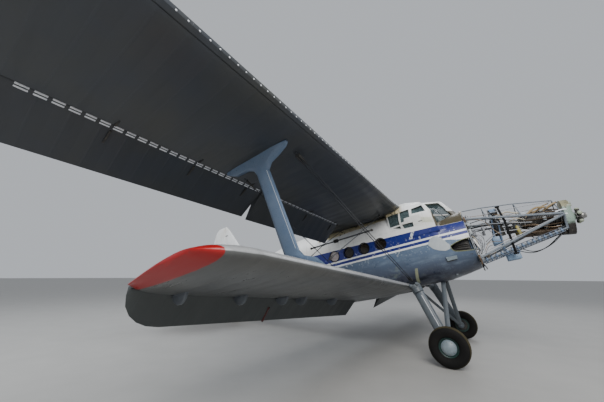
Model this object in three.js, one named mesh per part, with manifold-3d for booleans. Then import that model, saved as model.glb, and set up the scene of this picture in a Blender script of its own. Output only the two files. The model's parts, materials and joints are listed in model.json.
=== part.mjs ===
import * as THREE from 'three';
import { mergeVertices } from 'three/addons/utils/BufferGeometryUtils.js';
import Module from 'manifold-3d';

// A large utility biplane standing on its tailwheel gear, with cowling and propeller removed.
// Millimetres. The airframe is drawn level: +X forward from the firewall, +Y to port, +Z up from the thrust
// line.
// It is then tipped nose up about the main axle, and the finished model is centred over the floor.

const groundAngle = 11.84;        // degrees nose up when it stands on three wheels
const axle = { x: -1116, z: -2224, y: 1670 };
const mainTyre = { radius: 400, width: 240 };
const tailTyre = { radius: 235, width: 190 };
const wheelbase = 8190;
const gap = 0.4;                  // between pieces that touch
const runningGap = 8;             // around pieces that move

const wall = 45;                  // fuselage wall, skin and frames together
const floorZ = -745;
const noseJoin = -1800;           // frame between the cockpit and cabin sections
const tailJoin = -5900;           // frame between the cabin and the tail cone

// Fuselage stations: x, half width, top, bottom, radius of the top corners, radius of the bottom corners
const stations = [
  { x: 0, half: 778, top: 778, bottom: -778, topRadius: 770, bottomRadius: 770 },
  { x: -30, half: 781, top: 778, bottom: -786, topRadius: 770, bottomRadius: 768 },
  { x: -60, half: 786, top: 738, bottom: -796, topRadius: 735, bottomRadius: 766 },
  { x: -400, half: 824, top: 760, bottom: -865, topRadius: 758, bottomRadius: 690 },
  { x: -620, half: 849, top: 805, bottom: -900, topRadius: 750, bottomRadius: 640 },
  { x: -800, half: 865, top: 930, bottom: -932, topRadius: 680, bottomRadius: 600 },
  { x: -1800, half: 900, top: 1180, bottom: -948, topRadius: 600, bottomRadius: 430 },
  { x: -3600, half: 900, top: 1270, bottom: -948, topRadius: 590, bottomRadius: 430 },
  { x: -5000, half: 890, top: 1340, bottom: -925, topRadius: 590, bottomRadius: 430 },
  { x: -5900, half: 820, top: 1285, bottom: -850, topRadius: 570, bottomRadius: 420 },
  { x: -7400, half: 585, top: 1070, bottom: -640, topRadius: 440, bottomRadius: 370 },
  { x: -8700, half: 320, top: 830, bottom: -400, topRadius: 260, bottomRadius: 220 },
  { x: -9360, half: 165, top: 690, bottom: -270, topRadius: 140, bottomRadius: 120 },
];

// Cockpit glasshouse, one side: x forward, y outboard, z, on the sill, waist and roof rings
const canopySill = [[-90, 0, 762], [-590, 860, 480], [-1250, 905, 560], [-1830, 880, 600]];
const canopyWaist = [[-231, 0, 1000], [-680, 925, 850], [-1250, 975, 850], [-1830, 890, 850]];
const canopyRoof = [[-365, 0, 1228], [-770, 760, 1150], [-1250, 800, 1190], [-1830, 790, 1200]];
const canopyCrown = [[-800, 0, 1315], [-900, 420, 1305], [-1250, 440, 1390], [-1830, 440, 1425]];

// Side windows of the cockpit, each a quadrilateral of x, z
const sideWindows = [
  [[-745, 880], [-1095, 900], [-1085, 1055], [-800, 1090]],
  [[-1345, 752], [-1425, 750], [-1405, 1065], [-1145, 1070], [-1160, 830], [-1315, 830]],
  [[-1140, 560], [-1395, 575], [-1420, 692], [-1130, 680]],
  [[-1475, 595], [-1700, 668], [-1475, 675]],
  [[-1475, 707], [-1762, 707], [-1764, 1050], [-1445, 1065]],
];
const cabinWindow = { radius: 150, z: 350, x: [-2150, -2660, -3160, -3650] };

const cargoDoor = { front: -4050, back: -5510, bottom: -700, top: 830 };
const passengerDoor = { front: -4130, back: -4940, bottom: -640, top: 745 };

// Wings: leading edge at the root, chord, incidence and dihedral in degrees, chord and span of the fixed part
// ahead of the moving surfaces, and how far the rounded tip draws the front and back edges in
const upperWing = {
  root: 960, tip: 9090, x: -1375, z: 1258, chord: 2500, incidence: 3, dihedral: 2.97,
  fixed: 1705, cutFrom: 1342, cutTo: 8448,
  tipFront: { span: 700, inset: 665 }, tipBack: { span: 700, inset: 630 },
};
const lowerWing = {
  root: 615, tip: 7140, x: -1632, z: -939.6, chord: 2090, incidence: 3, dihedral: 4.49,
  fixed: 1515, cutFrom: 1092, cutTo: 7400,
  tipFront: { span: 550, inset: 450 }, tipBack: { span: 240, inset: 1490 },
};
const tip = { thinning: 0.6, lift: 100 };
const aerofoil = { thickness: 0.14, camber: 0.032, camberAt: 0.4 };

// Trailing edge surfaces: span, degrees down as parked, and the span over which the outer end is rounded
const surfaces = {
  upper_flap: { wing: upperWing, from: 1350, to: 4640, down: 40, round: 0 },
  aileron: { wing: upperWing, from: 4670, to: 8440, down: 30, round: 0 },
  lower_flap: { wing: lowerWing, from: 1100, to: 7030, down: 40, round: 580 },
};
// Their hinges behind and below the leading edge, nose radius, and length behind the hinge
upperWing.hinge = { back: 1812, drop: 40, nose: 92, length: 690 };
lowerWing.hinge = { back: 1600, drop: 46, nose: 66, length: 515 };
const surfaceRest = 8;            // degrees below level of a raised surface
const slat = { from: 1150, to: 8350, chord: 300, skin: 14, clearance: 8, chordUnder: 70 };

const fin = { hinge: -9450, thickness: 0.085 };
// Fin and rudder outline: height, leading edge, trailing edge
const finOutline = [
  { z: 560, front: -7650, back: -10400 },
  { z: 900, front: -7850, back: -10405 },
  { z: 1500, front: -8200, back: -10400 },
  { z: 2200, front: -8610, back: -10340 },
  { z: 2700, front: -8920, back: -10210 },
  { z: 2980, front: -9110, back: -10060 },
  { z: 3120, front: -9220, back: -9930 },
  { z: 3200, front: -9310, back: -9780 },
];
const rudderFoot = [
  { z: -300, back: -9900 },
  { z: -200, back: -10080 },
  { z: 50, back: -10280 },
  { z: 300, back: -10370 },
];

const tailplane = { hinge: -9300, z: 470, root: 190, tip: 3600, thickness: 0.1 };
// Tailplane and elevator outline: distance outboard, leading edge, trailing edge
const tailOutline = [
  { y: 190, front: -8080, back: -10150 },
  { y: 2600, front: -8380, back: -10010 },
  { y: 3200, front: -8500, back: -9900 },
  { y: 3480, front: -8680, back: -9740 },
  { y: 3600, front: -8900, back: -9520 },
];

// Interplane strut in side view, from its front foot round the top fairing to its rear edge: x, z
const strutOutline = [
  [-1850, -600], [-1850, -420], [-1940, -316], [-2150, -240], [-2205, -150], [-2205, 1120], [-2108, 1201],
  [-1928, 1248], [-1747, 1308], [-1690, 1351], [-1700, 1540], [-3050, 1540], [-3080, 1330], [-2911, 1251],
  [-2644, 1252], [-2496, 1194], [-2455, 1104], [-2500, -120], [-2500, -600],
];
const interplane = { topY: 5720, topZ: 1565, bottomY: 4910, bottomZ: -562, middleX: -2345, thickness: 96 };

// Bracing wires: lower end, place on the spreader rod, upper end
const spreader = { y: 3171, z: 263, front: -1590, back: -3090, radius: 15 };
const wireRadius = 8;
const wireRuns = [
  { low: [-1548, 1110, -800], rod: -1678, high: [-1786, 5330, 1330] },
  { low: [-1598, 1110, -800], rod: -1728, high: [-1836, 5330, 1330] },
  { low: [-3150, 1010, -700], rod: -3010, high: [-2860, 5420, 1270] },
  { low: [-1847, 4850, -380], rod: -1875, high: [-1903, 1010, 1120] },
  { low: [-2420, 4850, -380], rod: -2760, high: [-3060, 1010, 1060] },
];

const gear = {
  stub: [-1560, 700, -925], collar: [-1505, 1200, -950], knee: [-1170, 1425, -2185],
  frontPin: [-973, 290, -900], rearPin: [-1840, 230, -900], node: [-1130, 1400, -2205],
};

// Engine mount tubes on the left side: from, to, radius
const mountTubes = [
  { from: [60, 640, 418], to: [1925, 305, 30], radius: 28 },
  { from: [60, 600, -560], to: [1925, 305, 0], radius: 25 },
  { from: [60, 500, -640], to: [1880, 220, -300], radius: 22 },
  { from: [1925, 305, 15], to: [1880, 220, -300], radius: 26 },
  { from: [1880, 230, -300], to: [1880, -230, -300], radius: 26 },
];
const mountFeet = [[640, 418], [600, -560], [500, -640]];
// The cowling rail on the centre line, and its posts down to the side tubes
const rail = [[40, 768], [500, 716], [1180, 592], [1900, 418]];
const railPosts = [
  { x: 500, z: 716, y: 561, foot: 328 },
  { x: 1180, z: 592, y: 439, foot: 187 },
  { x: 1900, z: 418, y: 312, foot: 38 },
];

// Engine and gearbox: the axis runs down towards the front
const engine = {
  x: 2006, z: -45, droop: 9, radius: 200, rear: -900, front: -75,
  casing: { depth: 134, halfWidth: 280, halfHeight: 408 },
};
const propellerHub = { from: 140, to: 335, radius: 85, socketRadius: 46, socketReach: 190, sockets: 5 };

const colours = {
  white: { color: 0xe6e6e2, roughness: 0.45, metalness: 0.0 },
  wingGrey: { color: 0x83898f, roughness: 0.55, metalness: 0.1 },
  strutGrey: { color: 0x6f7f8c, roughness: 0.5, metalness: 0.2 },
  steel: { color: 0x8d8f90, roughness: 0.4, metalness: 0.8 },
  glass: { color: 0xa9c4cf, roughness: 0.08, metalness: 0.0 },
  rubber: { color: 0x191919, roughness: 0.9, metalness: 0.0 },
  rim: { color: 0x2c4a3f, roughness: 0.5, metalness: 0.3 },
  gearbox: { color: 0x7f9c86, roughness: 0.5, metalness: 0.3 },
  darkMetal: { color: 0x3a3a3a, roughness: 0.6, metalness: 0.6 },
  seat: { color: 0x3c3a36, roughness: 0.85, metalness: 0.0 },
};

const wasm = await Module();
wasm.setup();

const degrees = THREE.MathUtils.degToRad;

// Solids and meshes

function solidOf(geometry) {
  let clean = geometry.clone();
  clean.deleteAttribute('normal');
  clean.deleteAttribute('uv');
  clean = mergeVertices(clean, 1e-3);
  return new wasm.Manifold(new wasm.Mesh({
    numProp: 3,
    vertProperties: Float32Array.from(clean.attributes.position.array),
    triVerts: Uint32Array.from(clean.index.array),
  }));
}

function geometryOf(solid) {
  const mesh = solid.getMesh();
  const geometry = new THREE.BufferGeometry();
  geometry.setAttribute('position', new THREE.BufferAttribute(Float32Array.from(mesh.vertProperties), 3));
  geometry.setIndex(new THREE.BufferAttribute(Uint32Array.from(mesh.triVerts), 1));
  return geometry;
}

function joined(solids) {
  return solids.reduce((sum, solid) => sum.add(solid));
}

// A skin stretched over rings of equal point count, closed at both ends
function loft(rings) {
  const count = rings[0].length;
  const position = rings.flat().flatMap((p) => [p.x, p.y, p.z]);
  const index = [];
  for (let r = 0; r + 1 < rings.length; r += 1) {
    for (let i = 0; i < count; i += 1) {
      const j = (i + 1) % count;
      const [a, b] = [r * count + i, r * count + j];
      index.push(a, b, b + count, a, b + count, a + count);
    }
  }
  [[0, true], [rings.length - 1, false]].forEach(([ring, flip]) => {
    const points = rings[ring];
    flatTriangles(points).forEach(([a, b, c]) => {
      const corners = [a, b, c].map((k) => ring * count + k);
      index.push(...(flip ? corners.reverse() : corners));
    });
  });
  const geometry = new THREE.BufferGeometry();
  geometry.setAttribute('position', new THREE.Float32BufferAttribute(position, 3));
  geometry.setIndex(index);
  return outward(geometry);
}

// Triangles of one flat ring, found in the plane that it lies in
function flatTriangles(points) {
  const normal = new THREE.Vector3();
  points.forEach((p, i) => normal.add(new THREE.Vector3().crossVectors(p, points[(i + 1) % points.length])));
  normal.normalize();
  const u = new THREE.Vector3().crossVectors(normal, Math.abs(normal.x) < 0.9
    ? new THREE.Vector3(1, 0, 0) : new THREE.Vector3(0, 1, 0)).normalize();
  const v = new THREE.Vector3().crossVectors(normal, u);
  const contour = points.map((p) => new THREE.Vector2(p.dot(u), p.dot(v)));
  const faces = THREE.ShapeUtils.triangulateShape(contour, []);
  return faces.map(([a, b, c]) => {
    const turn = (contour[b].x - contour[a].x) * (contour[c].y - contour[a].y)
      - (contour[b].y - contour[a].y) * (contour[c].x - contour[a].x);
    return turn > 0 ? [a, b, c] : [a, c, b];
  });
}

// Turns the faces round where the volume comes out negative
function outward(geometry) {
  const p = geometry.attributes.position;
  const index = geometry.index.array;
  const corner = (k) => new THREE.Vector3().fromBufferAttribute(p, index[k]);
  let volume = 0;
  for (let k = 0; k < index.length; k += 3) {
    volume += corner(k).dot(corner(k + 1).cross(corner(k + 2)));
  }
  if (volume < 0) {
    for (let k = 0; k < index.length; k += 3) {
      [index[k + 1], index[k + 2]] = [index[k + 2], index[k + 1]];
    }
  }
  return geometry;
}

function loftSolid(rings) {
  return solidOf(loft(rings));
}

function block(low, high) {
  const size = high.map((value, i) => value - low[i]);
  const geometry = new THREE.BoxGeometry(...size);
  geometry.translate(...low.map((value, i) => value + size[i] / 2));
  return solidOf(geometry);
}

// A flat outline of x, z pushed through from one y to another
function sideways(outline, fromY, toY) {
  const shape = new THREE.Shape(outline.map(([x, z]) => new THREE.Vector2(x, z)));
  const geometry = new THREE.ExtrudeGeometry(shape, { depth: toY - fromY, bevelEnabled: false });
  geometry.rotateX(Math.PI / 2);
  geometry.translate(0, toY, 0);
  return solidOf(geometry);
}

// A round or oval bar between two points
function bar(from, to, radius, depthRadius = radius, sides = 12) {
  const a = new THREE.Vector3(...from);
  const b = new THREE.Vector3(...to);
  const geometry = new THREE.CylinderGeometry(1, 1, a.distanceTo(b), sides);
  geometry.scale(radius, 1, depthRadius);
  const along = b.clone().sub(a).normalize();
  const forward = new THREE.Vector3(...(Math.abs(along.x) > 0.99 ? [0, 0, 1] : [1, 0, 0]));
  const across = new THREE.Vector3().crossVectors(along, forward).normalize();
  const fore = new THREE.Vector3().crossVectors(along, across);
  geometry.applyMatrix4(new THREE.Matrix4().makeBasis(fore, along, across));
  geometry.translate(...a.add(b).multiplyScalar(0.5).toArray());
  return solidOf(geometry);
}

function ball(centre, radius, segments = 12) {
  const geometry = new THREE.SphereGeometry(radius, segments, segments / 2);
  geometry.translate(...centre);
  return solidOf(geometry);
}

function mirrored(solid) {
  return solid.mirror([0, 1, 0]);
}

// Fuselage

function stationAt(x) {
  const i = stations.findIndex((s, k) => k > 0 && s.x <= x);
  const [a, b] = [stations[i - 1], stations[i]];
  const t = (x - a.x) / (b.x - a.x);
  const mix = (key) => a[key] + (b[key] - a[key]) * t;
  return {
    x, half: mix('half'), top: mix('top'), bottom: mix('bottom'),
    topRadius: mix('topRadius'), bottomRadius: mix('bottomRadius'),
  };
}

// One fuselage ring: four arcs joined by straight sides, drawn in by inset
function fuselageRing(s, inset) {
  const half = s.half - inset;
  const top = s.top - inset;
  const bottom = s.bottom + inset;
  const upper = Math.max(s.topRadius - inset, 20);
  const lower = Math.max(s.bottomRadius - inset, 20);
  const steps = 8;
  const corners = [
    { y: half - upper, z: top - upper, r: upper, start: 0 },
    { y: upper - half, z: top - upper, r: upper, start: 90 },
    { y: lower - half, z: bottom + lower, r: lower, start: 180 },
    { y: half - lower, z: bottom + lower, r: lower, start: 270 },
  ];
  return corners.flatMap((c) => Array.from({ length: steps + 1 }, (_, k) => {
    const angle = degrees(c.start + (90 * k) / steps);
    return new THREE.Vector3(s.x, c.y + c.r * Math.cos(angle), c.z + c.r * Math.sin(angle));
  }));
}

function fuselageLoft(front, back, inset = 0) {
  const between = stations.filter((s) => s.x < front - 1 && s.x > back + 1);
  const all = [stationAt(front), ...between, stationAt(back)];
  return loftSolid(all.map((s) => fuselageRing(s, inset)));
}

// The room inside the fuselage walls, down to the level floor
function fuselageRoom(front, back) {
  const aboveFloor = block([back - 50, -1200, floorZ], [front + 50, 1200, 2000]);
  return fuselageLoft(front, back, wall).intersect(aboveFloor);
}

// The glasshouse, drawn in by inset on every side, with straight walls down from its sill
function canopy(inset) {
  const ring = (points) => {
    const half = points.map(([x, y, z]) => new THREE.Vector3(
      x - (x > -1800 ? inset * (1 + (x + 190) / 3000) : -inset),
      y === 0 ? 0 : y - inset,
      z,
    ));
    return [...half, ...half.slice(1).reverse().map((p) => new THREE.Vector3(p.x, -p.y, p.z))];
  };
  const foot = ring(canopySill).map((p) => new THREE.Vector3(p.x, p.y, 300));
  const lowered = (points) => ring(points).map((p) => new THREE.Vector3(p.x, p.y, p.z - inset));
  return loftSolid([foot, ring(canopySill), ring(canopyWaist), lowered(canopyRoof), lowered(canopyCrown)]);
}

function windscreenCut() {
  // Each pane runs from the centre post to the side pillar, and is cut square to its own plane
  const frame = 45;
  const lerp = (a, b, t) => new THREE.Vector3(...a).lerp(new THREE.Vector3(...b), t);
  const [sill, roof] = [canopySill, canopyRoof];
  const along = (row, t) => lerp(row[0], row[1], t);
  const side = frame / 950;
  const up = frame / 550;
  const corner = (s, t) => along(sill, s).lerp(along(roof, s), t);
  const middle = 0.2;
  const low = 0.02;
  const quad = [corner(middle, low), corner(1 - side, low), corner(1 - side, 1 - up), corner(middle, 1 - up)];
  const normal = new THREE.Vector3().crossVectors(quad[1].clone().sub(quad[0]), quad[3].clone().sub(quad[0]));
  normal.normalize();
  const shift = (d) => quad.map((p) => p.clone().addScaledVector(normal, d));
  const pane = loftSolid([shift(-150), shift(150)]);
  return pane.add(mirrored(pane));
}

function sideWindowCut() {
  const cuts = sideWindows.map((outline) => sideways(outline, 600, 1200));
  const port = joined(cuts);
  return port.add(mirrored(port));
}

function cabinWindowCuts(y0, y1, places) {
  return joined(places.map((x) => {
    const geometry = new THREE.CylinderGeometry(cabinWindow.radius, cabinWindow.radius, y1 - y0, 20);
    geometry.translate(x, (y0 + y1) / 2, cabinWindow.z);
    return solidOf(geometry);
  }));
}

// The opening in the nose side that is cut back to the firewall edge
function coolingOpening() {
  const outline = [
    [40, -62], [-130, -62], [-260, -85], [-400, -130], [-472, -165], [-455, -235], [-425, -290], [-250, -325],
    [40, -345],
  ];
  const hole = sideways(outline, 620, 1000);
  return hole.add(mirrored(hole));
}

function noseFuselage() {
  const outer = fuselageLoft(-gap, noseJoin + gap).add(trimmedCanopy(0));
  const inner = fuselageRoom(-60, noseJoin - 10).add(trimmedCanopy(wall, noseJoin - 10));
  return outer.subtract(inner).subtract(windscreenCut()).subtract(sideWindowCut()).subtract(coolingOpening())
    .subtract(centreSectionBlock(gap));
}

function trimmedCanopy(inset, back = noseJoin + gap) {
  return canopy(inset).intersect(block([back, -1200, 250], [200, 1200, 1600]));
}

function canopySheet(region) {
  return canopy(wall + gap).subtract(canopy(wall + 6)).intersect(region);
}

function doorBox(door, margin, y0 = 300, y1 = 1200) {
  return block([door.back + margin, y0, door.bottom + margin], [door.front - margin, y1, door.top - margin]);
}

function cabinShell() {
  return fuselageLoft(noseJoin, tailJoin).subtract(fuselageRoom(noseJoin + 10, tailJoin - 10));
}

function cabinFuselage() {
  return cabinShell()
    .subtract(doorBox(cargoDoor, 0))
    .subtract(cabinWindowCuts(-1200, -600, cabinWindow.x))
    .subtract(cabinWindowCuts(600, 1200, cabinWindow.x.slice(0, 3)))
    .subtract(centreSectionBlock(gap));
}

function cargoDoorPanel() {
  return cabinShell().intersect(doorBox(cargoDoor, runningGap)).subtract(doorBox(passengerDoor, 0));
}

function passengerDoorPanel() {
  const window = cabinWindowCuts(600, 1200, [(passengerDoor.front + passengerDoor.back) / 2]);
  return cabinShell().intersect(doorBox(passengerDoor, runningGap)).subtract(window);
}

function tailFuselage() {
  const outer = fuselageLoft(tailJoin - gap, -9360);
  const inner = fuselageLoft(tailJoin + 10, -9250, 22);
  return outer.subtract(inner);
}

function cabinGlazing(places) {
  const sheet = fuselageLoft(-1900, -3900, wall + gap).subtract(fuselageLoft(-1890, -3910, wall + 6));
  const margin = cabinWindow.radius + 25;
  const [front, back] = [places[0] + margin, places[places.length - 1] - margin];
  return sheet.intersect(block([back, 600, cabinWindow.z - margin], [front, 1200, cabinWindow.z + margin]));
}

// Wings

function camberAt(c) {
  const { camber: m, camberAt: p } = aerofoil;
  return c < p ? (m / p ** 2) * (2 * p * c - c * c) : (m / (1 - p) ** 2) * (1 - 2 * p + 2 * p * c - c * c);
}

function halfThickness(c, thickness) {
  const shape = 0.2969 * Math.sqrt(c) - 0.126 * c - 0.3516 * c ** 2 + 0.2843 * c ** 3 - 0.1036 * c ** 4;
  return 5 * thickness * shape;
}

// Chordwise places, close together round the nose
const chordPlaces = [0, 0.006, 0.022, 0.05, 0.09, 0.145, 0.22, 0.32, 0.44, 0.57, 0.7, 0.84, 1];

function profile(chord, thicknessScale = 1) {
  const side = (sign) => chordPlaces.slice(1).map((c) => {
    const z = camberAt(c) * thicknessScale + sign * halfThickness(c, aerofoil.thickness * thicknessScale);
    return [c * chord, z * chord];
  });
  const upper = side(1);
  const lower = side(-1);
  const tail = upper.pop();
  lower.pop();
  return [[0, 0], ...upper, [tail[0], tail[1] + 3], [tail[0], tail[1] - 3], ...lower.reverse()];
}

// A profile point behind and above the leading edge, placed at a distance outboard
function wingPoint(wing, y, back, up) {
  const tilt = degrees(wing.incidence);
  return new THREE.Vector3(
    wing.x - back * Math.cos(tilt) - up * Math.sin(tilt),
    y,
    wing.z + (y - wing.root) * Math.tan(degrees(wing.dihedral)) - back * Math.sin(tilt) + up * Math.cos(tilt),
  );
}

// How far the rounded tip has drawn a section in, from 0 where it starts to 1 at its end
function rounding(wing, y, span) {
  const s = Math.max(0, (y - wing.tip + span) / span);
  return 1 - Math.sqrt(Math.max(0, 1 - s * s));
}

function wingRing(wing, y) {
  const front = wing.tipFront.inset * rounding(wing, y, wing.tipFront.span);
  const back = wing.tipBack.inset * rounding(wing, y, wing.tipBack.span);
  const thin = 1 - tip.thinning * rounding(wing, y, wing.tipFront.span);
  const lift = tip.lift * rounding(wing, y, wing.tipFront.span);
  const section = profile(wing.chord - front - back, thin);
  return section.map(([along, up]) => wingPoint(wing, y, along + front, up + lift));
}

function wingBody(wing, from, to) {
  const tipSteps = [0, 0.3, 0.55, 0.75, 0.9, 0.98].map((s) => wing.tip - wing.tipFront.span * (1 - s));
  const between = tipSteps.filter((y) => y > from + 1 && y < to - 1);
  return loftSolid([from, ...between, to].map((y) => wingRing(wing, y)));
}

// Moves a point sideways, so that its section stands square to the line of the wing
function squared(wing, point) {
  const height = point.z - wingZ(wing, point.y);
  return new THREE.Vector3(point.x, point.y - height * Math.tan(degrees(wing.dihedral)), point.z);
}

// Everything behind the fixed part of a wing, over the span of its moving surfaces
function surfaceCut(wing) {
  const past = wing.chord + 300;
  const corners = [[wing.fixed, 500], [past, 500], [past, -500], [wing.fixed, -500]];
  const corner = (y) => corners.map(([back, up]) => squared(wing, wingPoint(wing, y, back, up)));
  return loftSolid([corner(wing.cutFrom), corner(wing.cutTo)]);
}

function upperWingPanel() {
  const seat = noseRegion(runningGap).subtract(insetNose(slat.clearance + slat.skin));
  return wingBody(upperWing, upperWing.root, upperWing.tip - 14)
    .subtract(surfaceCut(upperWing)).subtract(seat);
}

// The space round the upper wing's nose that the slat takes up
function noseRegion(margin) {
  const { chord, chordUnder } = slat;
  const section = [[-60, 200], [chord + margin, 260], [chordUnder + margin, -60], [20, -200], [-60, -200]];
  const ring = (y) => section.map(([back, up]) => wingPoint(upperWing, y, back, up));
  return loftSolid([ring(slat.from - margin), ring(slat.to + margin)]);
}

// The nose profile shrunk evenly by a depth
function insetNose(depth) {
  const ring = (y) => {
    const centre = wingPoint(upperWing, y, 320, 60);
    return wingRing(upperWing, y).map((p) => {
      const inward = centre.clone().sub(p);
      inward.y = 0;
      return p.clone().addScaledVector(inward.normalize(), depth * 1.35);
    });
  };
  return loftSolid([ring(slat.from - 60), ring(slat.to + 40)]);
}

function slatPanel() {
  const nose = wingBody(upperWing, slat.from - 50, slat.to + 30).intersect(noseRegion(0));
  return nose.subtract(insetNose(slat.skin));
}

// The root runs in under the round corner of the fuselage
function lowerWingPanel() {
  return wingBody(lowerWing, lowerWing.root, lowerWing.tip - 12).subtract(surfaceCut(lowerWing))
    .subtract(fuselageLoft(-1000, -4500, -gap));
}

// A flap or aileron: round nose about its hinge, sharp trailing edge, hanging at its parked angle
function hinged(name) {
  const s = surfaces[name];
  const { back, drop, nose, length } = s.wing.hinge;
  const angle = degrees(s.down + surfaceRest);
  const ring = (y, scale) => {
    const radius = nose * (0.6 + 0.4 * scale);
    const round = Array.from({ length: 9 }, (_, k) => degrees(90 + (180 * k) / 8))
      .map((a) => [radius * Math.cos(a), radius * Math.sin(a)]);
    const section = [...round, [length * scale, -4], [length * scale, 4]];
    return section.map(([along, up]) => {
      const behind = back + along * Math.cos(angle) + up * Math.sin(angle);
      const rise = up * Math.cos(angle) - along * Math.sin(angle) - drop;
      return squared(s.wing, levelPoint(s.wing, y, behind, rise));
    });
  };
  const ends = s.round ? [0, 0.3, 0.55, 0.75, 0.9, 0.985] : [0];
  const outer = ends.map((t) => ring(s.to - s.round * (1 - t), Math.sqrt(1 - t * t)));
  return loftSolid([ring(s.from, 1), ...outer]);
}

// A point measured level behind and above the leading edge
function levelPoint(wing, y, back, up) {
  const rise = (y - wing.root) * Math.tan(degrees(wing.dihedral));
  return new THREE.Vector3(wing.x - back, y, wing.z + rise + up);
}

function centreSectionBlock(margin = 0) {
  const ring = (y) => profile(upperWing.chord).map(([back, up]) => {
    const p = wingPoint(upperWing, upperWing.root, back, up);
    return new THREE.Vector3(p.x, y, p.z);
  });
  const edge = upperWing.root - gap;
  const body = loftSolid([ring(-edge), ring(edge)]);
  if (margin === 0) {
    return body;
  }
  const shifts = [[0, 0, -margin], [0, 0, margin], [margin, 0, 0], [-margin, 0, 0]];
  return joined(shifts.map((shift) => body.translate(shift)));
}

// Tail

function finHalf(z, x) {
  const rows = [...rudderFoot, ...finOutline].filter((row) => row.front);
  const row = rows.find((r) => r.z >= z) || rows[rows.length - 1];
  const chord = row.front - row.back;
  const c = Math.min(Math.max((row.front - x) / chord, 0.001), 1);
  return Math.max(halfThickness(c, fin.thickness) * chord, 3);
}

function finBody() {
  const rings = finOutline.map(({ z, front }) => {
    const back = fin.hinge + 85;
    const places = [0.0, 0.04, 0.15, 0.4, 0.7, 1].map((t) => front + (back - front) * t);
    const side = places.map((x, i) => new THREE.Vector3(x, i === 0 ? 0 : finHalf(z, x), z));
    return [...side, ...side.slice(1).reverse().map((p) => new THREE.Vector3(p.x, -p.y, p.z))];
  });
  const lowered = rings[0].map((p) => new THREE.Vector3(p.x, p.y, 300));
  return loftSolid([lowered, ...rings.slice(1)]).subtract(fuselageLoft(-7000, -9360, -gap))
    .subtract(block([-9400, -300, 0], [-9355, 300, 705]));
}

function rudderBody() {
  const rows = [...rudderFoot, ...finOutline];
  const rings = rows.map(({ z, back }) => {
    const radius = Math.min(66, finHalf(Math.max(z, 560), fin.hinge) * 0.97);
    const nose = Array.from({ length: 7 }, (_, k) => degrees(-90 + (180 * k) / 6))
      .map((a) => new THREE.Vector3(fin.hinge + radius * Math.cos(a), radius * Math.sin(a), z));
    return [...nose, new THREE.Vector3(back, 5, z), new THREE.Vector3(back, -5, z)];
  });
  return loftSolid(rings);
}

function tailHalf(row, x) {
  const chord = row.front - row.back;
  const c = Math.min(Math.max((row.front - x) / chord, 0.001), 1);
  return Math.max(halfThickness(c, tailplane.thickness) * chord, 3);
}

function tailplaneBody() {
  const back = tailplane.hinge + 75;
  const rings = tailOutline.map((row) => {
    const places = [0, 0.04, 0.15, 0.4, 0.7, 1].map((t) => row.front + (back - row.front) * t);
    const top = places.map((x, i) => new THREE.Vector3(x, row.y, tailplane.z + (i ? tailHalf(row, x) : 0)));
    const under = top.slice(1).reverse().map((p) => new THREE.Vector3(p.x, p.y, 2 * tailplane.z - p.z));
    return [...top, ...under];
  });
  return loftSolid(rings).subtract(fuselageLoft(-7000, -9360, -gap)).subtract(finKeepOut());
}

function finKeepOut() {
  return block([-10500, -120, 0], [-9200, 230, 1000]);
}

function elevatorBody() {
  const rows = tailOutline.filter((row) => row.y > 500).slice(0, 3);
  const radiusAt = (row) => Math.min(58, tailHalf(row, tailplane.hinge) * 0.95);
  const ring = (row, y, noseCut, back) => {
    const radius = radiusAt(row);
    const nose = Array.from({ length: 7 }, (_, k) => {
      const angle = degrees(-90 + (180 * k) / 6);
      const [x, z] = [tailplane.hinge + radius * Math.cos(angle), tailplane.z + radius * Math.sin(angle)];
      return new THREE.Vector3(x, noseCut, z);
    });
    const edge = [5, -5].map((up) => new THREE.Vector3(back, y, tailplane.z + up));
    return [...nose, ...edge];
  };
  const inner = ring(tailOutline[0], 620, 260, -10100);
  const outer = rows.map((row) => ring(row, row.y, row.y, row.back));
  return loftSolid([inner, ...outer]);
}

function tailStrut() {
  const tops = [[-8600, 1750], [-9120, 1700]];
  const [footX, footY, footZ] = [-8850, 250, -260];
  const struts = tops.map(([x, y]) => {
    const start = footX + (x - footX) * 0.25;
    return bar([start, footY, footZ], [x, y, 380], 14, 34, 8);
  });
  const foot = bar([footX - 95, footY, footZ], [footX + 90, footY, footZ], 30, 30, 8);
  return joined([...struts, foot])
    .subtract(fuselageLoft(-7000, -9360, -gap)).subtract(tailplaneBody().translate([0, 0, -gap]));
}

// Struts and wires between the wings

function interplaneStrut() {
  const { topY, topZ, bottomY, bottomZ, middleX, thickness } = interplane;
  const lean = (topY - bottomY) / (topZ - bottomZ);
  const ring = (side, narrow) => strutOutline.map(([x, z]) => new THREE.Vector3(
    middleX + (x - middleX) * narrow,
    bottomY + (z - bottomZ) * lean + (side * thickness) / 2,
    z,
  ));
  return loftSolid([ring(-1, 0.55), ring(-0.55, 0.93), ring(0.55, 0.93), ring(1, 0.55)])
    .subtract(wingKeepOut(upperWing)).subtract(wingKeepOut(lowerWing));
}

function wingZ(wing, y) {
  return wing.z + (y - wing.root) * Math.tan(degrees(wing.dihedral));
}

// The wing made a touch larger all round, to cut back what meets it
function wingKeepOut(wing) {
  const spare = 6;
  const larger = { ...wing, x: wing.x + spare, chord: wing.chord + 2 * spare };
  return wingBody(larger, wing.root - 40, wing.tip - 20);
}

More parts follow.
